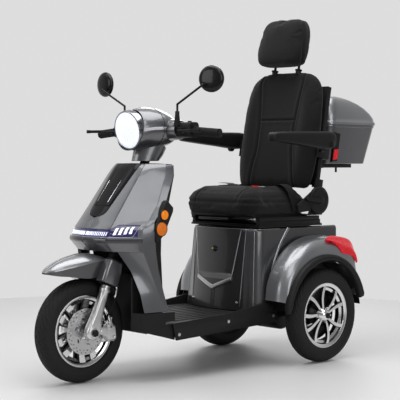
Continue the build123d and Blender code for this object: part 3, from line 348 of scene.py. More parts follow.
class Shape:
    """Points and faces in millimetres, with a material number for each face."""

    def __init__(self, points=(), faces=(), paint=0):
        self.points = [Vector(p) for p in points]
        self.faces = [tuple(f) for f in faces]
        self.paints = [paint] * len(self.faces)

    def add(self, other, paint=None):
        start = len(self.points)
        self.points += other.points
        self.faces += [tuple(i + start for i in f) for f in other.faces]
        self.paints += other.paints if paint is None else [paint] * len(other.faces)
        return self

    def moved(self, matrix):
        out = Shape()
        out.points = [matrix @ p for p in self.points]
        out.faces, out.paints = list(self.faces), list(self.paints)
        if matrix.to_3x3().determinant() < 0:
            out.faces = [tuple(reversed(f)) for f in out.faces]
        return out

    def mirrored(self):
        return self.moved(Matrix.Scale(-1, 4, (0, 1, 0)))


def both_sides(shape):
    return Shape().add(shape).add(shape.mirrored())


def at(x=0, y=0, z=0):
    return Matrix.Translation((x, y, z))


def spun(angle, letter):
    return Matrix.Rotation(math.radians(angle), 4, letter)


def loft(rings, closed=True, caps=True):
    """Skin through rows of the same number of points. closed joins each row's last point to its first."""
    n = len(rings[0])
    points = [p for ring in rings for p in ring]
    faces = []
    for r in range(len(rings) - 1):
        for i in range(n if closed else n - 1):
            j = (i + 1) % n
            faces.append((r * n + i, r * n + j, (r + 1) * n + j, (r + 1) * n + i))
    if caps and closed:
        faces.append(tuple(reversed(range(n))))
        faces.append(tuple(range((len(rings) - 1) * n, len(rings) * n)))
    return Shape(points, faces)


def lathe(profile, steps=48, axis="Y"):
    """Ring round an axis from a closed profile of (along, radius); open where a radius is 0."""
    rings = []
    for s in range(steps):
        a = 2 * math.pi * s / steps
        ca, sa = math.cos(a), math.sin(a)
        place = {"Y": lambda y, r: (r * ca, y, r * sa), "X": lambda y, r: (y, r * ca, r * sa),
                 "Z": lambda y, r: (r * ca, r * sa, y)}[axis]
        rings.append([place(y, r) for y, r in profile])
    n = len(profile)
    points = [p for ring in rings for p in ring]
    faces = []
    for s in range(steps):
        t = (s + 1) % steps
        for i in range(n):
            j = (i + 1) % n
            faces.append((s * n + i, s * n + j, t * n + j, t * n + i))
    return Shape(points, faces)


def tube(path, radius, sides=12, squash=1.0):
    """Round bar along a list of points. radius is one number or one for each point."""
    pts = [Vector(p) for p in path]
    radii = [radius] * len(pts) if isinstance(radius, (int, float)) else radius
    side = None
    rings = []
    for i, p in enumerate(pts):
        ahead = (pts[min(i + 1, len(pts) - 1)] - pts[max(i - 1, 0)]).normalized()
        if side is None:
            side = ahead.orthogonal().normalized()
        side = (side - ahead * side.dot(ahead)).normalized()
        up = ahead.cross(side)
        ring = []
        for k in range(sides):
            a = 2 * math.pi * k / sides
            ring.append(p + side * math.cos(a) * radii[i] + up * math.sin(a) * radii[i] * squash)
        rings.append(ring)
    return loft(rings)


def smooth_path(points, per=6):
    """Catmull-Rom points through a list of points."""
    pts = [Vector(p) for p in points]
    pts = [pts[0] * 2 - pts[1], *pts, pts[-1] * 2 - pts[-2]]
    out = []
    for i in range(1, len(pts) - 2):
        a, b, c, d = pts[i - 1:i + 3]
        for k in range(per):
            t = k / per
            out.append(0.5 * ((2 * b) + (c - a) * t + (2 * a - 5 * b + 4 * c - d) * t * t
                              + (3 * b - a - 3 * c + d) * t ** 3))
    return out + [pts[-2]]


def slab(x0, x1, y0, y1, z0, z1):
    pts = [(x, y, z) for z in (z0, z1) for x, y in ((x0, y0), (x1, y0), (x1, y1), (x0, y1))]
    return Shape(pts, [(3, 2, 1, 0), (4, 5, 6, 7), (0, 1, 5, 4), (1, 2, 6, 5), (2, 3, 7, 6), (3, 0, 4, 7)])


def bar(a, b, r, sides=16):
    """Straight round bar with a small chamfer at each end."""
    a, b = Vector(a), Vector(b)
    d = (b - a).normalized()
    c = min(r * 0.2, 1.5)
    return tube([a, a + d * c, b - d * c, b], [r - c, r, r, r - c], sides)


def make(name, shape, body, materials, replaces=(), bevel=0.0, segments=2, levels=0, sharp=32,
         weld=True):
    """A riding piece from a shape: welded, turned outwards, softened at its edges, smooth shaded."""
    mesh = bpy.data.meshes.new(name)
    mesh.from_pydata([p * MM for p in shape.points], [], shape.faces)
    mesh.polygons.foreach_set("material_index", shape.paints)
    bm = bmesh.new()
    bm.from_mesh(mesh)
    if weld:
        bmesh.ops.remove_doubles(bm, verts=bm.verts, dist=0.00002)
    bmesh.ops.recalc_face_normals(bm, faces=bm.faces)
    bm.to_mesh(mesh)
    bm.free()
    made = bpy.data.objects.new(name, mesh)
    bpy.context.scene.collection.objects.link(made)
    for m in materials if isinstance(materials, (list, tuple)) else [materials]:
        mesh.materials.append(m)
    if bevel:
        edge = made.modifiers.new("edges", "BEVEL")
        edge.width, edge.segments, edge.limit_method = bevel * MM, segments, "ANGLE"
        edge.angle_limit = math.radians(sharp)
        edge.harden_normals = True
    if levels:
        sub = made.modifiers.new("smooth", "SUBSURF")
        sub.levels = sub.render_levels = levels
    mesh.shade_smooth()
    if not levels and not bevel:
        mesh.set_sharp_from_angle(angle=math.radians(sharp))
    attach(made, body)
    if replaces:
        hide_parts(*replaces)
    return made


# %% [markdown]
# Machined and welded parts are already the right shape in the engineering model. They only need their finish
# and the tiny rounded edge that every real edge has: it catches a line of light. A weld joins the model's
# faces first.

# %% dress the engineering parts


def dress(node, material, bevel=1.2):
    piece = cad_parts[node]
    piece.data.materials.clear()
    piece.data.materials.append(material)
    join = piece.modifiers.new("join", "WELD")
    join.merge_threshold = 0.00002
    edge = piece.modifiers.new("edges", "BEVEL")
    edge.width, edge.segments, edge.limit_method = bevel * MM, 2, "ANGLE"
    edge.angle_limit = math.radians(35)
    edge.harden_normals = True
    piece.data.shade_smooth()


PLAIN = ((POWDER, ("head_tube", "floor_frame", "seat_pedestal", "rear_shocks", "fork_yoke", "handlebar",
                   "rear_axle_motor", "swivel_plate", "seat_rails", "slide_lever")),
         (BLACK_PLASTIC, ("side_skirts", "lower_cover", "leg_shield", "rear_panel", "battery_pack",
                          "switch_pods", "horn_button", "recline_lever", "backrest_frame", "box_latch")),
         (SATIN_BLACK, ("brake_lever_left", "brake_lever_right", "mirror_stem_left", "mirror_stem_right")),
         (DECK_RUBBER, ("deck",)), (STEEL, ("cover_screws", "ignition_key")),)
for finish, node_names in PLAIN:
    for node_name in node_names:
        dress(node_name, finish)
    print("dressed", len(node_names), "nodes in", finish.name)

# %% [markdown]
# A moped tyre is a round tube of rubber with a pattern of slanting grooves cut by its mould. The grooves are
# real shape here: the skin is a fine grid round the wheel, and each point sinks where it lies in a groove. A
# groove starts near the middle, sweeps back towards the shoulder and is spaced evenly round the tyre.

# %% tyres
TYRE_LOW, TYRE_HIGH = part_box("front_tyre")
TYRE_RADIUS = (TYRE_HIGH.z - TYRE_LOW.z) / 2 / MM
TYRE_HALF = (TYRE_HIGH.y - TYRE_LOW.y) / 2 / MM
GROOVES, STEPS_PER_GROOVE, GROOVE_DEPTH = 38, 12, 3.6
BEAD = 131.0


def tyre_radius(y):
    """Outside radius of the tyre at a distance y from its middle plane: a crowned tread on round shoulders."""
    share = min(abs(y) / TYRE_HALF, 1)
    return TYRE_RADIUS - 33 * (1 - math.sqrt(max(0, 1 - share ** 2.7)))


def tyre_shape():
    ys = [TYRE_HALF * math.sin(math.pi / 2 * k / 17) for k in range(-17, 18)]
    side = [(TYRE_HALF - 0.3, 166), (TYRE_HALF - 1.5, 160), (TYRE_HALF - 1.7, 158.5), (TYRE_HALF - 1.2, 157.5),
            (TYRE_HALF - 3.5, 151), (TYRE_HALF - 6.5, 147.6), (TYRE_HALF - 10.5, 146),
            (TYRE_HALF - 12.5, 143.5), (24, 138), (22, BEAD)]
    n = GROOVES * STEPS_PER_GROOVE
    rings = []
    for s in range(n):
        a = 2 * math.pi * s / n
        ring = [(-y, r) for y, r in reversed(side)]
        for y in ys:
            hand = 1 if y > 0 else -1
            lane = (s / STEPS_PER_GROOVE + hand * 0.25 + (abs(y) / 17) ** 1.25 * 0.9) % 1
            inside = min(lane, 1 - lane) * 2
            cut = max(0, 1 - (inside / 0.27) ** 4) if 5.5 < abs(y) < 38.5 else 0
            rings_y = 0.9 * GROOVE_DEPTH if 1.2 < abs(y) < 3.6 else 0
            ring.append((y, tyre_radius(y) - max(cut * GROOVE_DEPTH, rings_y)))
        ring += side
        rings.append([(r * math.cos(a), y, r * math.sin(a)) for y, r in ring])
    rings.append(rings[0])
    return loft(rings, closed=False, caps=False)


TYRE_SHAPE = tyre_shape()
FRONT_AXLE_X, REAR_AXLE_X, TRACK_HALF, AXLE_Z = 712, -388, 306, TYRE_RADIUS
WHEELS = {"front": (FRONT_AXLE_X, 0, "front_wheel", "front_tyre", "front_rim"),
          "rear_left": (REAR_AXLE_X, TRACK_HALF, "rear_wheel_left", "rear_tyre_left", "rear_rim_left"),
          "rear_right": (REAR_AXLE_X, -TRACK_HALF, "rear_wheel_right", "rear_tyre_right", "rear_rim_right")}
FRONT_AXLE = at(FRONT_AXLE_X, 0, AXLE_Z)
for name, (x, y, body, tyre_node, _) in WHEELS.items():
    make(name + "_tyre_rubber", TYRE_SHAPE.moved(at(x, y, AXLE_Z)), body, TYRE, [tyre_node],
         sharp=38)
print("tyre points", len(TYRE_SHAPE.points))

# %% [markdown]
# The wheels are cast alloy: ten spokes in five pairs in front, and nine slimmer ones behind. The face that
# shows is turned bright on a lathe after the black paint is on, so every surface that looks sideways is
# polished and every pocket stays black. One spoke is a loft of eight-sided sections along a curved line, and
# the paint number of each face is chosen by the way it looks.

# %% wheels
FLANGE, HUB = 143.5, 27.0


def spoke(start, end, bow, width_in, width_out, face_in, face_out):
    """Spoke from the hub to the rim between two angles, bowed sideways; face_* is the outer face's y."""
    rings = []
    for k in range(9):
        t = k / 8
        r = HUB - 4 + (FLANGE - 12 - HUB + 4) * t
        a = math.radians(start + (end - start) * t + bow * math.sin(math.pi * t))
        w = (width_in + (width_out - width_in) * t ** 1.4) / 2
        face = face_in + (face_out - face_in) * t ** 0.8
        back = face - 17 + 4 * t
        section = [(-w * 0.8, back), (w * 0.8, back), (w, back + 3), (w, face - 2.2), (w - 1.2, face),
                   (1.2 - w, face), (-w, face - 2.2), (-w, back + 3)]
        rings.append([(r * math.cos(a) - s * math.sin(a), y, r * math.sin(a) + s * math.cos(a)) for s,
                      y in section])
    return loft(rings)


def rim_barrel():
    w = 30.0
    half = [(0, 113), (8, 113), (13, 126), (w - 6, 129), (w - 4.5, FLANGE - 1.5), (w - 2.5, FLANGE),
            (w + 0.2, FLANGE - 1.5), (w, FLANGE - 5), (w - 1.5, 133), (w - 5, 127), (w - 14, 122),
            (w - 19, 110.5), (0, 109)]
    return lathe(half + [(-y, r) for y, r in reversed(half[1:-1])], 96)


def two_tone(shape, side=0):
    """Paint 0 where a face looks out sideways, else 1. side keeps the polish to +1 or -1, or 0 for both."""
    for i, face in enumerate(shape.faces):
        a, b, c = (shape.points[k] for k in face[:3])
        normal = (b - a).cross(c - a)
        centre = sum((shape.points[k] for k in face), Vector()) / len(face)
        if normal.length == 0:
            continue
        radius = math.hypot(centre.x, centre.z)
        turned = abs(normal.normalized().y) > 0.8 and abs(centre.y) > 13 and radius < 127
        lip = radius > 126 and abs(centre.y) > 25
        kept = side == 0 or centre.y * side > 0
        shape.paints[i] = 0 if (turned or lip) and kept else 1
    return shape


def bolt(radius, y, angle, size, height, sides=6):
    a = math.radians(angle)
    head = tube([(0, y, 0), (0, y + height * 0.8, 0), (0, y + height, 0)], [size, size, size * 0.8], sides)
    return head.moved(at(radius * math.cos(a), 0, radius * math.sin(a)))


FRONT_SPOKES = [(41 + 72 * pair + hand * 15, 41 + 72 * pair + hand * 12) for pair in range(5)
                for hand in (-1, 1)]
REAR_SPOKES = [(8, 4), (44, 41), (78, 92), (136, 127), (163, 162), (211, 205), (245, 262), (310, 296),
               (336, 333)]


def wheel_shape(spokes, face, width_in, width_out, bow, both_sides_cast, dish=6):
    """Rim with spokes that run between the given pairs of angles, at the hub and at the rim."""
    shape = Shape()
    for k, (start, end) in enumerate(spokes):
        one = spoke(start, end, bow * (1 if k % 2 else -1), width_in, width_out, face - dish, face)
        shape.add(one)
        if both_sides_cast:
            shape.add(one.mirrored())
    shape.add(rim_barrel())
    return two_tone(shape, 0 if both_sides_cast else 1)


FRONT_HUB = lathe([(-48, 9), (-48, 17), (-40, 21), (-34, 32), (-20, 35), (20, 35), (31, 33), (35.6, 32),
                   (35.6, 9)], 64)
REAR_CAP = lathe([(4, 13), (4, 40), (12, 38), (20, 31), (27, 27), (33, 23), (38, 17), (40.5, 8), (41, 0.01),
                  (36, 0.01), (30, 10)], 64)
REAR_DRUM = lathe([(-42, 13), (-42, 60), (-36, 64), (-14, 64), (-8, 52), (4, 42), (4, 13)], 64)
front_wheel = wheel_shape(FRONT_SPOKES, 22, 22, 33, 3, True)
front_wheel.add(FRONT_HUB, 0)
rear_wheel = wheel_shape(REAR_SPOKES, 24, 13, 20, 4, False, 3)
rear_wheel.add(REAR_DRUM, 1).add(REAR_CAP, 0)
for k in range(5):
    rear_wheel.add(bolt(34, 18, 39 + 72 * k, 5.2, 11), 0)
valve = tube([(112, 14, 0), (104, 17, 0), (96, 20, 0), (88, 22, 0)], [4, 3.4, 2.8, 2.8],
             12).moved(spun(20, "Y"))
for name, (x, y, body, _, rim_node) in WHEELS.items():
    shape = front_wheel if name == "front" else rear_wheel
    shape = shape.mirrored() if name == "rear_right" else shape
    make(name + "_wheel_casting", shape.moved(at(x, y, AXLE_Z)), body, [POLISHED, SATIN_BLACK], [rim_node],
         bevel=0.7, sharp=28)
    flip = valve.mirrored() if name == "rear_right" else valve
    make(name + "_valve", flip.moved(at(x, y, AXLE_Z)), body, STEEL)
print("wheels cast")

# %% [markdown]
# A brake disc is ground steel with two rows of small holes that let gas and water out, on a thin stamped
# centre with long windows. The holes are cut with one boolean: all the drills are joined into a single shape
# first.

# %% brake disc
DISC_R, DISC_Y, DISC_T = 92.0, 36.0, 4.0


def cut_with(piece, drills, name):
    """Boolean difference, applied at once, and the drills thrown away."""
    mesh = bpy.data.meshes.new(name)
    mesh.from_pydata([p * MM for p in drills.points], [], drills.faces)
    for each in (mesh, piece.data):
        outward = bmesh.new()
        outward.from_mesh(each)
        bmesh.ops.recalc_face_normals(outward, faces=outward.faces)
        outward.to_mesh(each)
        outward.free()
    before = len(piece.data.vertices)
    tool = bpy.data.objects.new(name, mesh)
    bpy.context.scene.collection.objects.link(tool)
    step = piece.modifiers.new("drill", "BOOLEAN")
    step.operation, step.object, step.solver = "DIFFERENCE", tool, "EXACT"
    piece.modifiers.move(len(piece.modifiers) - 1, 0)
    graph = bpy.context.evaluated_depsgraph_get()
    keep = [(m.name, m.show_viewport) for m in piece.modifiers]
    for m in piece.modifiers:
        m.show_viewport = m.name == "drill"
    graph.update()
    cut = bpy.data.meshes.new_from_object(piece.evaluated_get(graph))
    piece.modifiers.remove(piece.modifiers["drill"])
    for n, shown in keep:
        if n != "drill":
            piece.modifiers[n].show_viewport = shown
    piece.data = cut
    print(name, "points before and after:", before, len(cut.vertices))
    bpy.data.objects.remove(tool)
    return piece


def drill(x, z, r, y0, y1, stretch=1.0, angle=0.0, sides=14):
    ring = []
    for k in range(sides):
        a = 2 * math.pi * k / sides
        u, v = r * stretch * math.cos(a), r * math.sin(a)
        ring.append((x + u * math.cos(angle) - v * math.sin(angle), z + u * math.sin(angle)
                     + v * math.cos(angle)))
    return loft([[(p, y0, q) for p, q in ring], [(p, y1, q) for p, q in ring]])


ring_shape = lathe([(DISC_Y, 62), (DISC_Y, DISC_R), (DISC_Y + DISC_T, DISC_R), (DISC_Y + DISC_T, 62)], 120)
ring_shape.add(lathe([(DISC_Y + 0.6, 31), (DISC_Y + 0.6, 66), (DISC_Y + 4.6, 66), (DISC_Y + 4.6, 31)], 96), 0)
ring_shape.add(lathe([(DISC_Y + 4, 31), (DISC_Y + 4, 36), (DISC_Y + 5.6, 36), (DISC_Y + 5.6, 31)], 64), 0)
drills = Shape()
for k in range(24):
    a = 2 * math.pi * k / 24
    drills.add(drill(84 * math.cos(a), 84 * math.sin(a), 2.9, DISC_Y - 2, DISC_Y + 8))
    drills.add(drill(75 * math.cos(a + 0.13), 75 * math.sin(a + 0.13), 2.9, DISC_Y - 2, DISC_Y + 8))
for k in range(6):
    a = 2 * math.pi * (k + 0.3) / 6
    drills.add(drill(51 * math.cos(a), 51 * math.sin(a), 4.2, DISC_Y - 2, DISC_Y + 8, 2.2, a + math.pi / 2
                     + 0.5, 20))
disc_piece = make("front_brake_disc", ring_shape.moved(FRONT_AXLE), "front_wheel", STEEL, ["brake_disc"],
                  bevel=0.35, sharp=40, weld=False)
cut_with(disc_piece, drills.moved(FRONT_AXLE), "drills")
hub_bolts = Shape()
for k in range(6):
    hub_bolts.add(bolt(38, DISC_Y + 4.4, 60 * k + 12, 4.2, 4))
make("disc_bolts", hub_bolts.moved(FRONT_AXLE), "front_wheel", STEEL, bevel=0.3)
print("disc drilled with", len(drills.points) // 28, "holes or more")

# %% [markdown]
# Each fork leg is a casting: a round tube under the cover that grows into a broad, flat-faced foot round the
# axle. A loft of rounded rectangles down the leg gives that shape. The fork leans back with the steering, so
# the leg is made upright and then tilted into place.

# %% fork legs
RAKE = math.radians(22)
FORK = Matrix(((math.cos(RAKE), 0, -math.sin(RAKE), 378), (0, 1, 0, 0),
               (math.sin(RAKE), 0, math.cos(RAKE), 865), (0, 0, 0, 1)))
FORK_OFFSET, FORK_END, LEG_Y = 62.5, -736.9, 75.0


def rounded(cx, cy, half_x, half_y, corner, z, per=4):
    """Rounded rectangle round (cx, cy) at height z."""
    corner = min(corner, half_x * 0.98, half_y * 0.98)
    ring = []
    for q, (sx, sy) in enumerate(((1, 1), (-1, 1), (-1, -1), (1, -1))):
        for k in range(per + 1):
            a = math.pi / 2 * (q + k / per)
            ring.append((cx + sx * (half_x - corner) + corner * math.cos(a), cy + sy * (half_y - corner)
                         + corner * math.sin(a), z))
    return ring


LEG_ROWS = [(-541, 0, 19.5, 19.5, 18), (-552, 0, 19.5, 19.5, 18), (-556, 0, 21, 20.5, 17),
            (-566, 0, 21, 20.5, 16), (-572, 0, 17.5, 17, 13), (-600, 0, 17.5, 16.5, 9), (-640, 0, 19, 16.5, 8),
            (-676, -1, 23, 17, 9), (-700, -2, 28, 18, 10), (-722, -2, 31, 18.5, 12), (-742, -1, 31, 18.5, 14),
            (-757, 0, 25, 18, 14), (-765, 0, 16, 14, 12)]
leg = loft([rounded(FORK_OFFSET + dx, LEG_Y, hx, hy, c, z) for z, dx, hx, hy, c in LEG_ROWS])
foot = Shape()
foot.add(lathe([(LEG_Y + 17, 2), (LEG_Y + 17, 22), (LEG_Y + 20, 21), (LEG_Y + 21, 12), (LEG_Y + 21, 2)],
               40).moved(at(FORK_OFFSET, 0, FORK_END)))
for dx, dz in ((24, 24), (-27, 16)):
    boss = lathe([(LEG_Y + 10, 0.5), (LEG_Y + 10, 7), (LEG_Y + 19, 6), (LEG_Y + 19, 0.5)], 24)
    foot.add(boss.moved(at(FORK_OFFSET + dx * 0.7, 0, FORK_END + dz)))
make("fork_legs", both_sides(leg.add(foot)).moved(FORK), "fork_lower", ALLOY, ["fork_sliders"], bevel=1.0,
     sharp=40)
seals = lathe([(-545, 17), (-545, 20.6), (-541, 21), (-537, 18.5), (-536, 16)], 40, "Z")
seals = Shape().add(seals.moved(at(FORK_OFFSET, LEG_Y, 0))).add(seals.moved(at(FORK_OFFSET, -LEG_Y, 0)))
make("fork_dust_seals", seals.moved(FORK), "fork_lower", RUBBER_GRIP)
nuts = Shape()
for hand in (1, -1):
    cap = tube([(0, 96, 0), (0, 104, 0), (0, 107, 0)], [15, 15, 12], 6).add(bar((0, 92, 0), (0, 108, 0), 7.5))
    nuts.add(cap if hand > 0 else cap.mirrored())
make("front_axle_nuts", nuts.moved(FRONT_AXLE), "fork_lower", POWDER, bevel=0.5)

# %% [markdown]
# The caliper straddles the disc behind the left leg. It is a compact casting with a rounded back, two slide
# bolts, a bleed nipple on top and the banjo end of its hose. A short cast arm ties it to the foot of the leg.

# %% caliper
CALIPER_OUTLINE = ((584, 170), (596, 160), (622, 163), (636, 180), (638, 206), (628, 228), (604, 236),
                   (588, 222))
CALIPER_X, CALIPER_Z = 612, 198
caliper_rows = [[(CALIPER_X + (x - CALIPER_X) * s, y, CALIPER_Z + (z - CALIPER_Z) * s) for x,
                 z in CALIPER_OUTLINE] for y, s in ((43.5, 0.86), (47, 1.0), (72, 1.0), (78, 0.8))]
make("caliper_body", loft(caliper_rows), "fork_lower", ALLOY, ["brake_caliper"], bevel=1.2, sharp=25)
pads = Shape().add(slab(600, 634, 41.5, 45.5, 176, 224)).add(slab(600, 634, 32.5, 35.2, 176, 224))
pads.add(slab(592, 636, 26, 32.5, 172, 228)).add(slab(586, 598, 26, 52, 200, 232))
make("brake_pads", pads, "fork_lower", POWDER, bevel=0.8)
arm = loft([[(x, y, z) for x, z in ((632, 182), (676, 196), (684, 214), (676, 226), (634, 214))]
            for y in (58, 62, 70, 73)])
make("caliper_arm", arm, "fork_lower", ALLOY, bevel=1.5, sharp=25)
fittings = Shape()
for x, z in ((600, 178), (618, 218)):
    fittings.add(bolt(0, 77, 0, 6, 6).moved(at(x, 0, z)))
fittings.add(bar((602, 62, 232), (600, 62, 252), 3.2)).add(bar((600, 62, 250), (600, 62, 256), 4.6))
fittings.add(bar((622, 60, 230), (622, 60, 244), 5.5)).add(bar((612, 60, 239), (632, 60, 239), 4.4))
fittings.add(bolt(0, 73, 0, 6.5, 6).moved(at(664, 0, 208)))
make("caliper_fittings", fittings, "fork_lower", CHROME, bevel=0.4)
hose = smooth_path([(622, 60, 244), (616, 60, 268), (596, 64, 300), (590, 72, 338), (604, 80, 368),
                    (622, 82, 386)], 6)
make("brake_hose", tube(hose, 3.6, 12), "fork_lower", RUBBER_GRIP)
hook = smooth_path([(634, 92, 398), (616, 96, 392), (603, 97, 376), (606, 97, 352), (612, 96, 338)], 5)
make("fork_guard_bracket", tube(hook, 4.2, 12), "steering", CHROME)
print("fork finished")

# %% [markdown]
# Body panels are thin mouldings, so a panel here is a grid of points with an even thickness behind it. skin
# works out which way each point faces, puts a second grid behind the first and closes the border. The bevel
# then rounds only the border, which is where a real panel shows its edge.

# %% panel helper


def skin(rows, depth, inside):
    """Panel of even thickness from a grid of points; inside is a point on its hidden side."""
    grid = [[Vector(p) for p in row] for row in rows]
    n, m, hidden = len(grid), len(grid[0]), Vector(inside)
    under = []
    for i in range(n):
        line = []
        for j in range(m):
            along = grid[min(i + 1, n - 1)][j] - grid[max(i - 1, 0)][j]
            across = grid[i][min(j + 1, m - 1)] - grid[i][max(j - 1, 0)]
            normal = along.cross(across)
            normal = normal.normalized() if normal.length > 1e-6 else Vector((0, 0, 1))
            if normal.dot(grid[i][j] - hidden) < 0:
                normal.negate()
            line.append(grid[i][j] - normal * depth)
        under.append(line)
    shape = loft(grid, closed=False, caps=False).add(loft(under, closed=False, caps=False))
    border = [(0, j) for j in range(m)] + [(i, m - 1) for i in range(1, n)]
    border += [(n - 1, j) for j in range(m - 2, -1, -1)] + [(i, 0) for i in range(n - 2, 0, -1)]
    ids = [i * m + j for i, j in border]
    for a, b in zip(ids, ids[1:] + ids[:1]):
        shape.faces.append((a, b, b + n * m, a + n * m))
        shape.paints.append(0)
    return shape


def mix(a, b, t):
    return tuple(p + (q - p) * t for p, q in zip(a, b))


def at_height(rows, z):
    """Row of a table at height z, straight between the two rows round it."""
    low = max((r for r in rows if r[0] <= z), key=lambda r: r[0], default=rows[0])
    high = min((r for r in rows if r[0] >= z), key=lambda r: r[0], default=rows[-1])
    t = 0 if high[0] == low[0] else (z - low[0]) / (high[0] - low[0])
    return [mix(a, b, t) for a, b in zip(low[1:], high[1:])]


# %% [markdown]
# Behind the spokes of each rear wheel stands a black disc. It is painted shade: a dark sheet that keeps the
# studio light from showing between the spokes.

# %% rear shade discs
for side in ("left", "right"):
    shade_disc = lathe([(262, 20), (262, 104), (266, 110), (276, 112), (283, 108), (283, 20)], 72)
    shade_disc = shade_disc if side == "left" else shade_disc.mirrored()
    make("rear_shade_disc_" + side, shade_disc.moved(at(REAR_AXLE_X, 0, 205)), "rear_wheel_" + side, SATIN_BLACK, bevel=0.8,
         sharp=35)
print("shade_discs made")

# %% [markdown]
# The front shield is the face of the scooter: a narrow nose, a flat cheek on each side, and a side face
# behind a soft crease that runs on down into the leg. Each panel is a patch of one surface, so the shut lines
# between them fall where the real mouldings meet. A point on the surface is given by its height and by how
# far round it is: 0 at the nose, 1 at the corner, 2 at the crease and 3 at the rear edge.

# %% front shield
SHIELD = [  # height, then nose, corner, crease and rear edge as (x, y)
    (520, (655, 0), (636, 112), (556, 201), (497, 212)), (556, (695, 0), (669, 115), (557, 200), (500, 212)),
    (568, (699, 0), (673, 115), (557, 199), (500, 212)), (612, (675, 0), (651, 112), (551, 192), (506, 210)),
    (640, (650, 0), (628, 110), (520, 190), (502, 208)), (707, (600, 0), (577, 106), (466, 184), (442, 204)),
    (820, (512, 0), (492, 100), (412, 168), (380, 182)), (852, (488, 0), (467, 96), (404, 161), (374, 171)),
    (866, (472, 0), (452, 92), (396, 154), (372, 163)),
]
LEGS = [  # height, then front edge, crease and rear edge
    (282, (557, 213), (467, 230), (447, 234)), (354, (567, 200), (493, 222), (466, 226)),
    (446, (588, 165), (527, 211), (488, 217)), (520, (624, 127), (556, 201), (497, 212)),
]
INSERT_LOW, INSERT_TOP, INSERT_HALF_LOW, INSERT_HALF_TOP, GAP = 655.0, 866.0, 50.0, 78.0, 1.2


def on_shield(z, along, out=0.0):
    nose, corner, crease, rear = at_height(SHIELD, z)
    if along <= 1:
        point = (nose[0] - (nose[0] - corner[0]) * along ** 2.2, corner[1] * along)
    else:
        point = mix(corner, crease, along - 1) if along <= 2 else mix(crease, rear, along - 2)
    return Vector((point[0] + out, point[1] + out * 0.4 * min(along, 1), z))


def insert_half(z):
    """Half width of the black insert: straight sides over a rounded end."""
    tip = min(max((z - INSERT_LOW) / 30, 0), 1)
    rise = (INSERT_HALF_TOP - INSERT_HALF_LOW) * (z - INSERT_LOW) / (INSERT_TOP - INSERT_LOW)
    straight = INSERT_HALF_LOW + rise
    return straight * (1 - (1 - tip) ** 2.6) ** (1 / 2.6)


def steps(a, b, n):
    return [a + (b - a) * k / n for k in range(n + 1)]


def bar_top(along):
    """Upper edge of the lamp strip: level over the nose, then a step up on the cheek."""
    return 610 + 17 * min(max((along - 1.02) / 0.16, 0), 1)


BEHIND = (430, 0, 640)
nose_rows = []
for z in [bar_top(0)] + steps(616, 651, 6) + [655.5 + k * k * 0.28 for k in range(12)] + steps(694, 866, 17):
    edge = insert_half(z) / at_height(SHIELD, z)[1][1]
    nose_rows.append([on_shield(z, edge + (0.992 - edge) * t) for t in steps(0, 1, 14)])
cheek_rows = [[on_shield(bar_top(a) + (866 - bar_top(a)) * t, a) for a in steps(1.008, 1.3, 6)
               + steps(1.36, 1.9, 9) + steps(1.93, 2.0, 3)] for t in steps(0, 1, 26)]


def side_point(z, t):
    crease, rear = at_height(SHIELD, z)[2:] if z >= 520 else at_height(LEGS, z)[1:]
    return Vector((*mix(crease, rear, t), z))


side_rows = [[side_point(z, t) for t in steps(0.0, 1, 6)] for z in steps(282, 866, 56)]
leg_rows = [[Vector((*mix(at_height(LEGS, z)[0], at_height(LEGS, z)[1], t), z)) for t in steps(0, 1, 8)]
            for z in steps(282, 520, 20)]
chin_rows = [[on_shield(z, a) for a in steps(0, 2, 40)] for z in steps(520, 556, 5)]
lip_rows = [[on_shield(z, a, out) for a in steps(0, 2, 48)] for z, out in
            ((556, 0), (558, 2.2), (566, 3.2), (574, 2.6), (577, 1.4))]
end_rows = [[on_shield(577 + (bar_top(1.9) - 577) * t, a) for a in steps(1.86, 2.0, 4)] for t in steps(0, 1, 5)]
shield = both_sides(skin(nose_rows, 3, BEHIND))
for rows in (cheek_rows, leg_rows, end_rows):
    shield.add(both_sides(skin(rows, 3, BEHIND)))
make("shield_panels", shield, "chassis", CHARCOAL, ["front_shield"], bevel=0.9, sharp=50)
make("shield_sides", both_sides(skin(side_rows, 3, (440, 0, 600))), "chassis", CHARCOAL, bevel=1.4, sharp=50)
make("shield_chin", both_sides(skin(chin_rows, 3, (500, 0, 600))), "chassis", CHARCOAL, bevel=0.8, sharp=50)
make("shield_lip", both_sides(skin(lip_rows, 4, BEHIND)), "chassis",
     paint("lip_paint", (0.05, 0.051, 0.056), (0.035, 0.036, 0.04)), bevel=0.8, sharp=50)
top_rows = [[on_shield(866, a) * (1 - t) + Vector((392, 0, 870)) * t for a in steps(0, 3, 24)]
            for t in steps(0, 0.55, 5)]
make("shield_top", both_sides(skin(top_rows, 3, (420, 0, 600))), "chassis", BLACK_PLASTIC, bevel=0.8, sharp=50)
print("shield panels made")

# %% [markdown]
# The black insert is lacquered so deeply that it mirrors the studio. It has a narrow raised ridge on each
# side and a step near its foot, as if a second, smaller panel lay on the first. A thin bright line runs up
# each side.

# %% black insert
STEP_Z = 700.0


def insert_row(z, out):
    half = (insert_half(z) - GAP) / at_height(SHIELD, z)[1][1]
    line = []
    for t in steps(-1, 1, 28):
        crown = 3.2 * (1 - abs(t) ** 6) + (2.2 if 0.55 < abs(t) < 0.86 else 0) * (1 if z > STEP_Z else 0)
        p = on_shield(z, abs(half * t), out + crown * 0.7)
        line.append(Vector((p.x, p.y if t > 0 else -p.y, p.z)))
    return line


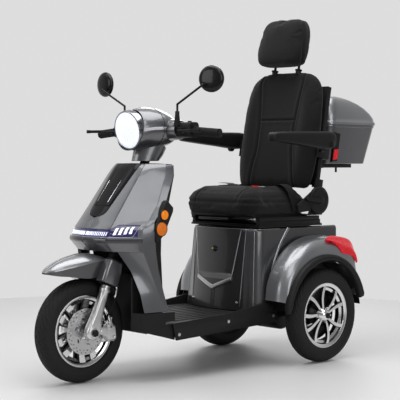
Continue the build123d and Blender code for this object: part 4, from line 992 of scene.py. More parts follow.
insert_rows = [insert_row(z, -1.5 if z < STEP_Z else 0.8) for z in [657.0 + k * k * 0.24 for k in range(12)]
               + [688, STEP_Z - 1.2, STEP_Z + 0.6] + steps(704, 866, 20)]
make("gloss_insert", skin(insert_rows, 3, BEHIND), "chassis", GLOSS_BLACK, ["gloss_panel"], bevel=0.8, sharp=40)
ridge = [on_shield(z, 0.30 + 0.08 * (z - 700) / 166, 5.0) for z in steps(712, 800, 8)]
make("insert_bright_line", both_sides(tube(ridge, [0.4] + [1.1] * 7 + [0.4], 8)), "chassis", CHROME)

# %% [markdown]
# The lamp strip sits in a dark channel: a row of small upright light blocks over the nose, blending into one
# bar in the middle, and four large slanted blocks on each cheek. A thin moulding edges its foot. It is painted
# in the lightest copy of the charcoal, as a painted highlight.

# %% lamp strip
LAMP_DEPTH, SMALL_LAMPS = 2.0, 13
strip_rows = [[on_shield(577 + (bar_top(a) - 577) * t, a, -3.0) for a in steps(0, 1.86, 60)]
              for t in steps(0, 1, 5)]
make("lamp_channel", both_sides(skin(strip_rows, 3, BEHIND)), "chassis", LED_BLUE, ["light_bar"], bevel=0.5)


def lamp_block(a0, a1, z0, z1, lean, out=0.2):
    """Lit block between two places round the strip; lean moves its top along."""
    rows = [[on_shield(z0 + (z1 - z0) * t, a + lean * t, out) for a in steps(a0, a1, 3)]
            for t in steps(0, 1, 3)]
    return skin(rows, LAMP_DEPTH, BEHIND)


lamps = Shape()
for k in range(SMALL_LAMPS):
    a = 0.03 + 0.073 * k
    lamps.add(both_sides(lamp_block(a, a + 0.03 + 0.014 * max(0, 1 - k / 6), 585, 600, 0.012)))
for k in range(4):
    a = 1.13 + 0.155 * k
    lamps.add(both_sides(lamp_block(a, a + 0.085, 588 + 1.5 * k, 615 + 1.5 * k, 0.05, 0.6)))
make("lamp_blocks", lamps, "chassis", LED_WHITE, bevel=0.8, sharp=30)
edge = [on_shield(578.5, a, 2.2) for a in steps(0, 1.72, 40)] + [on_shield(578.5 + 46 * t, 1.72 + 0.2 * t, 1.6)
                                                                 for t in steps(0.1, 1, 8)]
# Painted highlight: the moulding takes the lightest copy of the charcoal.
make("strip_moulding", both_sides(tube(edge, 1.1, 8)), "chassis", CHARCOAL_PAINTED_HIGHLIGHT)
print("lamp blocks:", 2 * (SMALL_LAMPS + 4))

# %% [markdown]
# The indicator pod is a flat black housing behind each side face with a small lamp above a larger one. Each
# amber lens is a shallow dome with rings moulded in it, over a black collar.

# %% indicators
POD = [(449, 729), (408, 691), (450, 609), (472, 574), (505, 552), (505, 620), (499, 634)]
LENSES = [((463, 665), 19, 1.3), ((478, 610), 27, 0.55)]
pod_rings = []
for y, grow in ((196, 0.98), (216, 0.98), (220.5, 0.96), (222.5, 0.9)):
    cx, cz = 466, 640
    pod_rings.append([(cx + (x - cx) * grow, y, cz + (z - cz) * grow) for x,
                      z in [p for a, b in zip(POD, POD[1:] + POD[:1])
                            for p in (mix(a, b, 0.12), mix(a, b, 0.5), mix(a, b, 0.88))]])
make("indicator_pods", both_sides(loft(pod_rings)), "chassis", BLACK_PLASTIC, ["side_indicators"], bevel=0.8,
     sharp=40)
for (x, z), r, glow in LENSES:
    dome = [(218, 0.01), (218, r), (223.5, r), (225.5, r * 0.93)]
    dome += [(225.5 + 3.2 * (1 - t * t) + (0.5 if k % 2 else 0), r * 0.9 * t) for k,
             t in enumerate(steps(0.95, 0.02, 14))]
    collar = lathe([(218, r - 1), (218, r + 3.5), (224, r + 3), (225, r + 0.5), (222, r - 1)], 48)
    name = "upper" if z > 640 else "lower"
    make("indicator_lens_" + name, both_sides(lathe(dome, 48).moved(at(x, 0, z))), "chassis",
         AMBER if name == "upper" else AMBER_DEEP)
    make("indicator_collar_" + name, both_sides(collar.moved(at(x, 0, z))), "chassis", SATIN_BLACK, bevel=0.4)
print("indicators made")

# %% [markdown]
# The headlight is a clear dome over a bright reflector in a chromed ring. It looks a little down the road.
# Everything is turned about the lamp's own axis and then tipped into place.

# %% headlight
LAMP = Matrix.Translation((468, 0, 1002)) @ spun(10, "Y")
LAMP_R = 70.0
LENS_R = LAMP_R + 4
dome = [(-8, 0.01), (-8, LENS_R)] + [(3 + 11 * (1 - t * t), LENS_R * t) for t in steps(0.995, 0.01, 18)]
make("headlight_lens", lathe(dome, 96, "X").moved(LAMP), "steering", HEAD_GLOW, ["headlight"])
bezel = [(-26, LAMP_R + 8), (-26, LAMP_R + 11), (-4, LAMP_R + 11), (3, LAMP_R + 9.5), (5.5, LAMP_R + 7),
         (4.5, LAMP_R + 4.6), (-4, LAMP_R + 4.4)]
make("headlight_bezel", lathe(bezel, 96, "X").moved(LAMP), "steering", DARK_CHROME, bevel=0.6, sharp=25)
ring = [(4, LAMP_R * 0.80), (4, LAMP_R * 0.86), (9.2, LAMP_R * 0.86), (10.2, LAMP_R * 0.80)]
make("headlight_inner_ring", lathe(ring, 96, "X").moved(LAMP), "steering", LED_WHITE)

# %% [markdown]
# The nacelle behind the lamp is an egg-shaped cover, with a short round arm on each side where the handlebar
# comes through. Smooth curves through a few ellipses make the egg.

# %% nacelle
EGG = [(236, 1000, 40, 26), (243, 1000, 62, 40), (262, 1004, 86, 56), (290, 1008, 103, 72),
       (330, 1011, 111, 82), (362, 1011, 109, 87), (400, 1010, 101, 88), (436, 1006, 92, 86),
       (455, 1003, 84, 84)]
ridge = smooth_path([(x, z, half_y) for x, z, half_y, _ in EGG], 4)
heights = smooth_path([(x, half_z, 0) for x, _, _, half_z in EGG], 4)
egg_rows = []
for (x, z, half_y), (_, half_z, _) in zip(ridge, heights):
    ring = []
    for k in range(65):
        a = 2 * math.pi * k / 64
        ring.append((x, half_y * math.cos(a), z + half_z * math.sin(a)))
    egg_rows.append(ring)
egg_rows = [[(x + (z - 1002) * -0.17 * t ** 3, y, z) for x, y, z in row] for row,
            t in zip(egg_rows, steps(0, 1, len(egg_rows) - 1))]
make("nacelle", skin(egg_rows, 3, (350, 0, 1005)), "steering", CHARCOAL, ["headlight_cowl"], bevel=0.8,
     sharp=50)
arm_ring = [(96, 44), (120, 43), (142, 40), (150, 37), (151, 12), (96, 12)]
make("nacelle_arms", both_sides(lathe(arm_ring, 64).moved(at(312, 0, 1006))), "steering", CHARCOAL, bevel=1.5,
     sharp=30)
seam = [(x, y * 1.004, z) for x, y, z in egg_rows[20]]
make("nacelle_seam", tube([(x + 0.2, y * 1.004, 1006 + (z - 1006) * 1.004) for x, y, z in seam[:-1]]
                          + [seam[0]], 0.9, 6), "steering", SATIN_BLACK)
column_rows = []
for z, rx, ry, cut in ((13, 58, 51, 1), (18, 59, 52, 0.86), (40, 64, 55, 0.3), (60, 69, 59, 0),
                       (92, 74, 63, 0)):
    ring = [(rx * math.cos(a) * (1 + 0.03 * math.cos(4 * a)), ry * math.sin(a) * (1 + 0.03 * math.cos(4 * a)))
            for a in steps(0, 2 * math.pi, 48)]
    column_rows.append([(x, y, z - 0.404 * x * cut) for x, y in ring])
make("column_cover", skin(column_rows, 3, (0, 0, 55)).moved(FORK), "steering", CHARCOAL, bevel=0.8, sharp=50)
screws = Shape()
for y, z in ((26, 74), (36, 58)):
    screws.add(both_sides(bar((62, y * 0.9, z), (70, y, z + 1), 4.5)))
make("column_screws", screws.moved(FORK), "steering", STEEL, bevel=0.4)
print("headlight and nacelle made")

# %% [markdown]
# Each handlebar end carries a rubber grip, whose ribs are plain rings, and a small round plug. A mirror is a
# dished shell with its glass let in, on a stem that comes out of a folded rubber boot.

# %% grips and mirrors
GRIP_IN, GRIP_OUT = Vector((322, 235, 1000)), Vector((306, 372, 990))


def grip_profile(x):
    """Radius of the grip x mm from its inner end."""
    if x < 5:
        return 21.5
    if x > 117:
        return 18.6
    return 17.2 + (0.9 if int(x / 4) % 2 else 0)


grip_way = (GRIP_OUT - GRIP_IN).normalized()
grip_points, grip_radii = [], []
for k in range(0, 246):
    x = k * 0.5
    grip_points.append(GRIP_IN + grip_way * (14 + x))
    grip_radii.append(grip_profile(x))
grip = tube(grip_points, grip_radii, 28)
make("grip_rubber_left", grip, "steering", RUBBER_GRIP, ["grip_left"])
make("grip_rubber_right", grip.mirrored(), "throttle", RUBBER_GRIP, ["throttle_grip"])
ends = tube([GRIP_OUT - grip_way * 2, GRIP_OUT + grip_way * 1.5, GRIP_OUT + grip_way * 4], [9, 15, 11], 24)
make("bar_ends", both_sides(ends), "steering", SATIN_BLACK, bevel=0.6)

MIRRORS = {"left": (Vector((320, 333.43, 1206)), 22), "right": (Vector((320, -330.57, 1206)), -4)}
shell_profile = [(-10, 0.01), (-10, 50), (-9, 53), (-6, 54), (0, 53.4), (5, 50.5), (9, 44), (11.6, 34),
                 (13.2, 20), (13.8, 0.01)]
glass_profile = [(-11.2, 0.01), (-11.2, 48), (-9, 48.5), (-9, 0.01)]
for side, (centre, turned) in MIRRORS.items():
    pose = Matrix.Translation(centre) @ spun(turned, "Z")
    make("mirror_shell_" + side, lathe(shell_profile, 72, "X").moved(pose), "mirror_" + side, GLOSS_SHELL,
         ["mirror_head_" + side], bevel=0.5, sharp=40)
    make("mirror_glass_" + side, lathe(glass_profile, 72, "X").moved(pose), "mirror_" + side, MIRROR_GLASS)
    hand = 1 if side == "left" else -1
    boot = [(1034, 0.01), (1034, 12.5), (1038, 13), (1046, 11.5)]
    boot += [(1046 + 2.2 * k, 10.8 - 0.26 * k + (1.0 if k % 2 else 0))
             for k in range(1, 14)] + [(1077, 6.5), (1079, 0.01)]
    make("mirror_boot_" + side, lathe(boot, 32, "Z").moved(at(346, 165 * hand, 0)), "mirror_arm_" + side,
         RUBBER_GRIP)
print("grips and mirrors made")

# %% [markdown]
# Cushions are cut and sewn covers pulled tight over foam. Each one starts as a closed form a little smaller
# than the finished pad. Its surface is rebuilt as an even net, cloth simulation blows it up from inside while
# its back stays still, and no point may move further than a cap. The seams are pressed in afterwards, because
# the new net would lose them: a point sinks where it lies near a seam and swells slightly beside it, as foam
# does under a tight stitch.

# %% stuffing and sewing
VOXEL_M, SIM_FRAMES, PRESSURE = 0.0058, 20, 4.0


def baked(piece):
    """The piece's mesh with its modifiers applied."""
    graph = bpy.context.evaluated_depsgraph_get()
    graph.update()
    mesh = bpy.data.meshes.new_from_object(piece.evaluated_get(graph))
    piece.modifiers.clear()
    piece.data = mesh
    return mesh


def positions(mesh):
    flat = np.empty(len(mesh.vertices) * 3)
    mesh.vertices.foreach_get("co", flat)
    return flat.reshape(-1, 3)


def normals(mesh):
    flat = np.empty(len(mesh.vertices) * 3)
    mesh.vertices.foreach_get("normal", flat)
    return flat.reshape(-1, 3)


def stuff(piece, held, cap_mm):
    """Swell a pad by cloth simulation. held picks the points that stay still from their places in metres."""
    net = piece.modifiers.new("net", "REMESH")
    net.mode, net.voxel_size = "VOXEL", VOXEL_M
    start = positions(baked(piece))
    group = piece.vertex_groups.new(name="held")
    group.add([int(i) for i in np.nonzero(held(start))[0]], 1.0, "REPLACE")
    cloth = piece.modifiers.new("stuffing", "CLOTH")
    cloth.settings.use_pressure = True
    cloth.settings.uniform_pressure_force = PRESSURE
    cloth.settings.effector_weights.gravity = 0
    cloth.settings.vertex_group_mass = "held"
    cloth.point_cache.frame_start, cloth.point_cache.frame_end = 1, SIM_FRAMES
    for frame_number in range(1, SIM_FRAMES + 1):
        bpy.context.scene.frame_set(frame_number)
    mesh = baked(piece)
    moved = positions(mesh) - start
    length = np.linalg.norm(moved, axis=1, keepdims=True)
    limited = start + moved * np.minimum(1, cap_mm * MM / np.maximum(length, 1e-9))
    mesh.vertices.foreach_set("co", limited.ravel())
    bpy.context.scene.frame_set(1)
    print(piece.name, "swelled by up to", round(float(length.max()) / MM, 1), "mm before the cap")
    finer = piece.modifiers.new("finer", "SUBSURF")
    finer.levels = finer.render_levels = 1
    mesh = baked(piece)
    mesh.materials.clear()
    mesh.materials.append(SEAT_CLOTH)
    mesh.shade_smooth()
    return piece


def along_line(points, path):
    """Distance of each 2-D point from a path of straight runs."""
    best = np.full(len(points), 1e9)
    for a, b in zip(path, path[1:]):
        a, b = np.array(a, float), np.array(b, float)
        t = np.clip(((points - a) @ (b - a)) / ((b - a) @ (b - a)), 0, 1)
        best = np.minimum(best, np.linalg.norm(points - (a + t[:, None] * (b - a)), axis=1))
    return best


def sew(piece, frame_matrix, axes, seams, faces_out, depth=5.0, width=3.4):
    """Press seams into a pad. axes are the two local axes that the seams are drawn on, in millimetres."""
    mesh = piece.data
    inverse = np.array(frame_matrix.inverted())
    co, no = positions(mesh), normals(mesh)
    local = (np.c_[co / MM, np.ones(len(co))] @ inverse.T)[:, :3]
    facing = no @ inverse[:3, :3].T
    near = np.min([along_line(local[:, axes], seam) for seam in seams], axis=0)
    share = np.clip((facing @ np.array(faces_out, float) - 0.15) / 0.3, 0, 1)
    sink = depth * np.exp(-(near / width) ** 2) - 1.6 * np.exp(-((near - 13) / 7) ** 2)
    mesh.vertices.foreach_set("co", (co - no * (sink * share)[:, None] * MM).ravel())
    mesh.update()


# %% [markdown]
# The seat cushion is a broad, flat-bottomed pad with rounded front corners. Its top is crowned, its sides
# roll under to the base board, and the cover has a welt seam all round and two sewn channels that frame the
# middle.

# %% seat cushion
SEAT_MID, SEAT_HALF_X, SEAT_HALF_Y = -226.0, 196.0, 209.0
SEAT_LEVELS = [(648, 20), (652, 9), (664, 2), (684, 0), (708, 1.5), (726, 7), (738, 18), (744, 38), (746, 60)]
levels = [rounded(SEAT_MID, 0, SEAT_HALF_X - inset, SEAT_HALF_Y - inset, 66 - inset * 0.5, z, 8) for z,
          inset in SEAT_LEVELS]


def bolster(p):
    """Rise of the cushion's top at a place: a roll down each side that dies away at the backrest."""
    side = min(max((abs(p[1]) - 95) / 70, 0), 1)
    length = min(max((p[0] + 370) / 50, 0), 1) * min(max((-45 - p[0]) / 150, 0), 1)
    return 26 * math.sin(side * math.pi / 2) ** 2 * length * min(max((p[2] - 684) / 50, 0), 1)


levels = [[(p[0], p[1], p[2] + bolster(p)) for p in ring] for ring in levels]
seat_pad = make("seat_pad", loft(levels), "seat", SEAT_CLOTH, ["seat_cushion"])
stuff(seat_pad, lambda co: co[:, 2] < 0.654, 7)
channels = [[(-30, -128), (-400, -128)], [(-30, 128), (-400, 128)], [(-300, -128), (-300, 128)]]
sew(seat_pad, Matrix.Identity(4), [0, 1], channels, (0, 0, 1), 4.5)
welt = [[(x, z) for x, z in ((-440, 700), (-20, 700))]]
sew(seat_pad, Matrix.Identity(4), [0, 2], welt, (0, 1, 0), 1.1, 2.2)
sew(seat_pad, Matrix.Identity(4), [0, 2], welt, (0, -1, 0), 1.1, 2.2)
sew(seat_pad, Matrix.Identity(4), [1, 2], [[(-230, 700), (230, 700)]], (1, 0, 0), 1.1, 2.2)
board = loft([rounded(SEAT_MID, 0, 184, 200, 56, z, 6) for z in (645.5, 650)])
make("seat_base_board", board, "seat", SATIN_BLACK, bevel=1.0, sharp=40)
print("seat cushion made")

# %% [markdown]
# The backrest is cut like a car seat: a flat middle, a bolster on each side that stands forward of it, round
# shoulders and a narrower waist. Level by level, its outline is a closed curve whose front bulges where the
# bolsters are.

# %% backrest
LEAN = math.radians(10)
BACK = Matrix(((math.cos(LEAN), 0, -math.sin(LEAN), -442), (0, 1, 0, 0),
               (math.sin(LEAN), 0, math.cos(LEAN), 705), (0, 0, 0, 1)))
BACK_OUTLINE = [(42, 188), (54, 211), (84, 222), (130, 231), (200, 237), (300, 237), (380, 235), (440, 230),
                (490, 221), (530, 203), (558, 174), (574, 140), (582, 104), (586, 70)]
BACK_FOOT, BACK_HEAD = BACK_OUTLINE[0][0], BACK_OUTLINE[-1][0]


def edge(t, p=4.5, q=2.2):
    return max(0, 1 - abs(t) ** p) ** (1 / q)


def back_level(z, half):
    u = (z - BACK_FOOT) / (BACK_HEAD - BACK_FOOT)
    ends = (1 - abs(2 * u - 1) ** 9) ** 0.4 if 0 < u < 1 else 0
    thick = 0.35 + 0.65 * ends
    ring = []
    for k in range(72):
        a = 2 * math.pi * k / 72
        t = math.cos(a)
        front = math.sin(a) > 0
        roll = 20 * math.exp(-((abs(t) - 0.74) / 0.2) ** 2)
        roll *= math.sin(math.pi * min(max(u, 0.02), 0.98)) ** 0.5
        depth = (24 + roll + 6 * math.sin(math.pi * u)) if front else 32
        ring.append((38 + (1 if front else -1) * depth * thick * edge(t, 5, 2.2), half * t, z))
    return ring


curve = smooth_path([(z, half, 0) for z, half in BACK_OUTLINE], 4)
back_pad = make("backrest_pad", loft([back_level(z, half) for z, half, _ in curve]).moved(BACK), "back",
                SEAT_CLOTH, ["backrest"])
back_inverse = np.array(BACK.inverted())


def back_held(co):
    local = np.c_[co / MM, np.ones(len(co))] @ back_inverse.T
    return local[:, 0] < 12


stuff(back_pad, back_held, 8)
left_seam = [(122, 590), (130, 520), (116, 430), (106, 330), (108, 210), (126, 120), (138, 40)]
back_seams = [left_seam, [(-y, z) for y, z in left_seam], [(-110, 352), (110, 352)]]
sew(back_pad, BACK, [1, 2], back_seams, (1, 0, 0), 6.0, 3.8)
guides = Shape()
for y in (-73, 73):
    guides.add(lathe([(566, 0.01), (566, 13), (580, 13), (586, 17), (589, 16), (590, 7), (590, 0.01)], 28,
                     "Z").moved(at(58, y, 0)))
make("headrest_guides", guides.moved(BACK), "back", SATIN_BLACK, bevel=0.6)

# %% [markdown]
# The headrest is a deep pillow, wider than it is tall, drawn in at its foot, with a side panel sewn to the
# front along a seam that curves forward at the bottom. It stands on two thin black posts.

# %% headrest
HEAD_OUTLINE = [(598, 92, 30), (604, 112, 44), (620, 126, 52), (660, 135, 55), (710, 136, 52), (760, 131, 47),
                (794, 116, 40), (809, 96, 30), (815, 74, 19)]
head_curve = smooth_path(HEAD_OUTLINE, 3)
head_levels = []
for z, half, deep in head_curve:
    ring = []
    for k in range(64):
        a = 2 * math.pi * k / 64
        c, s = math.cos(a), math.sin(a)
        ring.append((97 - 0.06 * (z - 700) + deep * math.copysign(abs(s) ** 0.62, s),
                     half * math.copysign(abs(c) ** 0.62, c), z))
    head_levels.append(ring)
head_pad = make("headrest_pad", loft(head_levels).moved(BACK), "head_support", SEAT_CLOTH, ["headrest"])


def head_held(co):
    local = np.c_[co / MM, np.ones(len(co))] @ back_inverse.T
    return (local[:, 2] < 604) & (np.abs(local[:, 1]) < 90)


stuff(head_pad, head_held, 10)
side_seam = [(60, 594), (104, 612), (120, 660), (124, 730), (118, 800), (90, 815)]
sew(head_pad, BACK, [0, 2], [[(x - 4, z) for x, z in side_seam]], (0, 1, 0), 4.0, 3.4)
sew(head_pad, BACK, [0, 2], [[(x - 4, z) for x, z in side_seam]], (0, -1, 0), 4.0, 3.4)
posts = Shape().add(bar((58, -73, 440), (58, -73, 660), 6)).add(bar((58, 73, 440), (58, 73, 660), 6))
make("headrest_posts", posts.moved(BACK), "head_support", SATIN_BLACK)
print("backrest and headrest made")

# %% [markdown]
# Each armrest is a padded arm with a rounded top, thicker at the pivot, and an adjusting wheel underneath.
# The round recliner housings hide the hinge at the foot of the backrest.

# %% armrests and recliners
ARM_ROWS = [(-82, 974, 990, 12), (-88, 966, 998, 21), (-104, 964, 1003, 25), (-160, 958, 1006, 26),
            (-240, 950, 1008, 26), (-320, 943, 1010, 26), (-390, 934, 1011, 26), (-440, 930, 1012, 26),
            (-474, 935, 1010, 25), (-488, 948, 1002, 22), (-492, 962, 990, 14)]


def arm_ring(x, low, high, half):
    mid, tall = (low + high) / 2, (high - low) / 2
    ring = []
    for k in range(40):
        a = 2 * math.pi * k / 40
        c, s = math.cos(a), math.sin(a)
        ring.append((x, 280 + half * math.copysign(abs(c) ** 0.5, c),
                     mid + tall * math.copysign(abs(s) ** 0.55, s)))
    return ring


arm = loft([arm_ring(*row) for row in ARM_ROWS])
arm_cap = lathe([(304, 0.01), (304, 17), (306.5, 17), (308, 14), (308.5, 0.01)], 40).moved(at(-455, 0, 955))
for side, body in (("left", "arm_left"), ("right", "arm_right")):
    shape = arm if side == "left" else arm.mirrored()
    pad = make("armrest_pad_" + side, shape, body, ARM_SKIN, ["armrest_" + side], levels=1)
    cap = arm_cap if side == "left" else arm_cap.mirrored()
    make("armrest_cap_" + side, cap, body, SATIN_BLACK, bevel=0.6)
    adjuster = lathe([(270, 0.01), (270, 12), (274, 14), (288, 14), (292, 12), (292, 0.01)],
                     18).moved(at(-410, 0, 934))
    make("armrest_adjuster_" + side, adjuster if side == "left" else adjuster.mirrored(), body, SATIN_BLACK,
         bevel=0.5)
recliner = [(235.5, 0.01), (235.5, 63), (244, 63), (249, 59), (251.5, 50), (251.5, 44), (250, 42), (250, 20),
            (252, 17), (252, 0.01)]
housing = lathe(recliner, 72).moved(at(-442, 0, 705))
link = loft([[(x, y, z) for x, z in ((-384, 660), (-306, 654), (-300, 688), (-398, 748))]
             for y in (235.5, 244, 245.8)])
make("recliner_housings", both_sides(Shape().add(housing).add(link)), "seat", BLACK_PLASTIC,
     ["recliner_covers"], bevel=1.2, sharp=30)
print("arms made")

# %% [markdown]
# The lap belt lies across the cushion: flat woven webbing, a black buckle and its red press button.

# %% lap belt
BELT_X, BELT_TOP, BUCKLE_Y = -278, 749.0, -22
belt_line = [(BELT_X, y, BELT_TOP + 1.5 + bolster((BELT_X, y, 750)))
             for y in (-205, -180, -150, -110, -60, 0, 60, 110, 150, 180)]
belt_line += [(BELT_X - 3, 203, 765), (BELT_X - 7, 216, 747), (BELT_X - 15, 221, 722), (BELT_X - 28, 222, 692),
              (BELT_X - 42, 221, 662)]
belt_rows = [[p + Vector((w * 23, 0, 0.5 * math.cos(w * 3))) for w in steps(-1, 1, 8)]
             for p in smooth_path(belt_line, 6)]
make("belt_webbing_strap", skin(belt_rows, 1.6, (BELT_X, 0, 600)), "seat", BELT_WEB, ["lap_belt"], sharp=50)
buckle = loft([rounded(BELT_X, BUCKLE_Y, 25, 34, 8, BELT_TOP + z, 4) for z in (1, 4)]
              + [rounded(BELT_X, BUCKLE_Y, 22, 31, 7, BELT_TOP + z, 4) for z in (13, 16)])
make("belt_buckle", buckle, "seat", SATIN_BLACK, bevel=1.2, sharp=30)
# The button takes the red lamp-lens finish, whose emission makes it glow faintly: a painted glow on a part that
# is no lamp.
button = loft([rounded(BELT_X, BUCKLE_Y + 26, 16, 8, 2.5, BELT_TOP + z, 3) for z in (12, 18)])
make("belt_button", button, "seat", RED_LENS, bevel=0.6)
print("belt made")

# %% [markdown]
# The front fender is shaped like a beak. Its upper face is lit from above, and it takes a lighter copy of the
# charcoal as painted light. Its side turns away below a crease that climbs from the tip to the fork, and it
# takes a darker copy as painted shade. The fork covers are separate mouldings over the top of each leg, and
# turn with them.

# %% front fender and fork covers
FENDER = [  # station, half width, top, foot, and how far up the crease lies
    (888, 12, 446, 440, 0.55), (878, 24, 456, 437, 0.5), (862, 36, 467, 434, 0.46),
    (835, 46, 481, 430, 0.46), (800, 55, 494, 427, 0.5), (760, 64, 504, 421, 0.56),
    (720, 70, 511, 417, 0.62), (685, 73, 511, 419, 0.68), (650, 74, 506, 424, 0.72),
    (612, 74, 491, 430, 0.76),
]
roof_rows, flank_rows = [], []
for x, half, top, foot, crease in FENDER:
    fold = foot + (top - foot) * crease
    side = [(half * 0.93, foot), (half * 0.965, foot + (fold - foot) * 0.5), (half, fold)]
    flank_rows.append([(x, y, z) for y, z in side])
    roof = [(half, fold)] + [(half * math.cos(a) ** 0.8, fold + 1.5 + (top - fold - 1.5) * math.sin(a) ** 1.35)
                             for a in steps(0.3, 1.4, 8)]
    roof_rows.append([(x, y, z) for y, z in roof] + [(x, 0, top)])


def eased(rows):
    """Rows with extra ones between them, so that the panel curves smoothly along its length."""
    return [list(row) for row in zip(*[smooth_path(line, 3) for line in zip(*rows)])]


BELOW_FENDER = (740, 0, 330)
# Painted light: the upper face takes a lighter copy of the charcoal.
make("front_fender_shell", both_sides(skin(eased(roof_rows), 3, BELOW_FENDER)), "steering", CHARCOAL_PAINTED_LIGHT,
     ["front_fender"], bevel=0.6, sharp=60)
# Painted shade: the side below the crease takes a darker copy of the charcoal.
make("front_fender_flank", both_sides(skin(eased(flank_rows), 3, BELOW_FENDER)), "steering", CHARCOAL_PAINTED_SHADE,
     bevel=0.6, sharp=60)
cover_rows = []
for z, half_x, inner, outer, corner in ((-537, 40, 57, 112, 12), (-532, 42.5, 57, 113, 14),
                                        (-480, 41.5, 57, 113, 14), (-446, 38, 58, 111, 16),
                                        (-438, 30, 62, 104, 16)):
    cover_rows.append(rounded(70, (inner + outer) / 2, half_x, (outer - inner) / 2, corner, z, 6))
make("fork_covers", both_sides(loft(cover_rows)).moved(FORK), "steering", CHARCOAL, bevel=1.0, sharp=35)
print("front fender made")

# %% [markdown]
# The box under the seat is one moulding. It is painted in a darker copy of the charcoal, as painted shade,
# because it stands in the shadow of the seat and the leg shield. Its front bulges forward and its corners are
# tight. A raised panel on the front ends in a point at the bottom, edged with a bright chevron. Fine folds run
# up beside it and back along the side, and a thin line edges its top. Both are painted highlights in the
# lightest copy of the charcoal. The charging socket has a black flap.

# %% seat base
BASE_FOOT, BASE_HEAD, BASE_X, BULGE, BULGE_HALF, BASE_RAKE = 236, 590, -62, 44, 210, 24


def foot_x(y):
    return BASE_X + BULGE * (1 - (y / BULGE_HALF) ** 2)


def on_front(y, z, out=0.0):
    """Place on the bulging front of the base, a given distance proud of it."""
    return Vector((foot_x(y) - BASE_RAKE * (z - BASE_FOOT) / (BASE_HEAD - BASE_FOOT) + out, y, z))


corner = [(-51.5, 176), (-59, 193), (-66, 207), (-76, 218), (-89, 225.5), (-106, 228)]
base_line = [Vector((foot_x(y), y, 0)) for y in steps(0, 160, 12)]
base_line += smooth_path([(x, y, 0) for x, y in [(foot_x(160), 160)] + corner + [(-200, 228)]], 3)[1:]
base_line += [Vector((x, 228, 0)) for x in steps(-240, -590, 7)]
base_rows = []
for z, inset in [(z, 0) for z in steps(236, 574, 14)] + [(580, 1), (585, 3), (588, 7), (589.8, 14)]:
    t, row = (z - BASE_FOOT) / (BASE_HEAD - BASE_FOOT), []
    for p in base_line:
        rear = min(max((-120 - p.x) / 470, 0), 1)
        narrow = (1 - 0.088 * t * (1 - rear * 0.5)) * (1 - inset / 228)
        row.append((p.x - (BASE_RAKE * t + inset) * (1 - rear), p.y * narrow, z))
    base_rows.append(row)
# Painted shade: the shell takes a darker copy of the charcoal.
make("seat_base_shell", both_sides(skin(base_rows, 3.5, (-330, 0, 400))), "chassis", CHARCOAL_PAINTED_SHADE,
     ["seat_base"], bevel=0.9, sharp=45)


def front_strip(left, right, out0, out1):
    """Raised piece that follows the bulge between two edges, each a list of (y, z) from foot to head."""
    rows = []
    for a, b in zip(left, right):
        rows.append([on_front(*mix(a, b, t), out1) for t in steps(0, 1, 10)])
    return skin(rows, out1 - out0, (-300, 0, 420))


def up(points, n):
    """Evenly spaced (y, z) places up a line given by a few points."""
    return [Vector(mix(*points[k:k + 2], t)) for k in range(len(points) - 1)
            for t in steps(0, 1, n)[:-1]] + [Vector(points[-1])]


bib_edge = [(102, 372), (138, 586)]
foot_edge = [(0, 330), (102, 372)]
panel = front_strip([Vector((-y, z)) for y, z in up(bib_edge, 8)], up(bib_edge, 8), -2, 5)
panel.add(front_strip([Vector((-y, z)) for y, z in up(foot_edge, 6)], up(foot_edge, 6), -2, 5))
# Painted shade: the raised panel takes the same darker copy of the charcoal.
make("front_panel", panel, "chassis", CHARCOAL_PAINTED_SHADE, bevel=1.2, sharp=40)
chevron = Shape()
for hand in (1, -1):
    low = [Vector((hand * y, z)) for y, z in up([(0, 320), (104, 362)], 6)]
    high = [Vector((hand * y, z)) for y, z in up([(0, 338), (103, 378)], 6)]
    chevron.add(skin([[on_front(*p, 8) for p in low], [on_front(*mix(a, b, 0.5), 10.5) for a,
                                                       b in zip(low, high)], [on_front(*p, 8) for p in high]],
                     9, (-300, 0, 350)))
make("front_chevron", chevron, "chassis", ALLOY, bevel=0.8, sharp=50)
folds = Shape()
for line, size in (([(103, 376), (139, 586)], 2.2), ([(146, 252), (158, 584)], 1.7)):
    places = up(line, 9)
    folds.add(both_sides(tube([on_front(*p, 4.5 if size > 2 else 0.2) for p in places],
                              [size * 0.4] + [size] * (len(places) - 2) + [size * 0.4], 10)))
side_line = smooth_path([(-123, 229, 290), (-140, 227, 350), (-165, 222, 425), (-211, 216.5, 510),
                         (-272, 211, 587)], 5)
folds.add(both_sides(tube(side_line, [1.0 + 3.4 * t for t in steps(0, 1, len(side_line) - 1)], 10)))
folds.add(both_sides(tube([p + Vector((-13 * k / len(side_line), -0.6, 0)) for k, p in enumerate(side_line)],
                          1.5, 8)))
corner_line = [Vector((-64.5 - BASE_RAKE * t, 204 * (1 - 0.088 * t), BASE_FOOT + 354 * t))
               for t in steps(0.03, 0.96, 10)]
folds.add(both_sides(tube(corner_line, 1.9, 10)))
# Painted highlights: the folds take the lightest copy of the charcoal.
make("front_folds", folds, "chassis", CHARCOAL_PAINTED_HIGHLIGHT, sharp=60)
# Painted highlight: a thin bar in the lightest copy of the charcoal runs along the top edge.
rim_line = [Vector(p) + Vector((0, 0, 0.3)) for p in base_rows[-3][:34]]
make("base_top_edge", both_sides(tube(rim_line, 1.5, 8)), "chassis", CHARCOAL_PAINTED_HIGHLIGHT, sharp=60)
PORT_Z = 497
flap = [[on_front(r * 20 * math.cos(a), PORT_Z + r * 14.5 * math.sin(a), 5 + 5.5 * (1 - r ** 3))
         for a in steps(0, 2 * math.pi, 32)] for r in (1.0, 0.9, 0.6, 0.3, 0.02)]
make("charge_flap", skin(flap, 6, (-300, 0, PORT_Z)), "chassis", SATIN_BLACK, bevel=0.6, sharp=40)
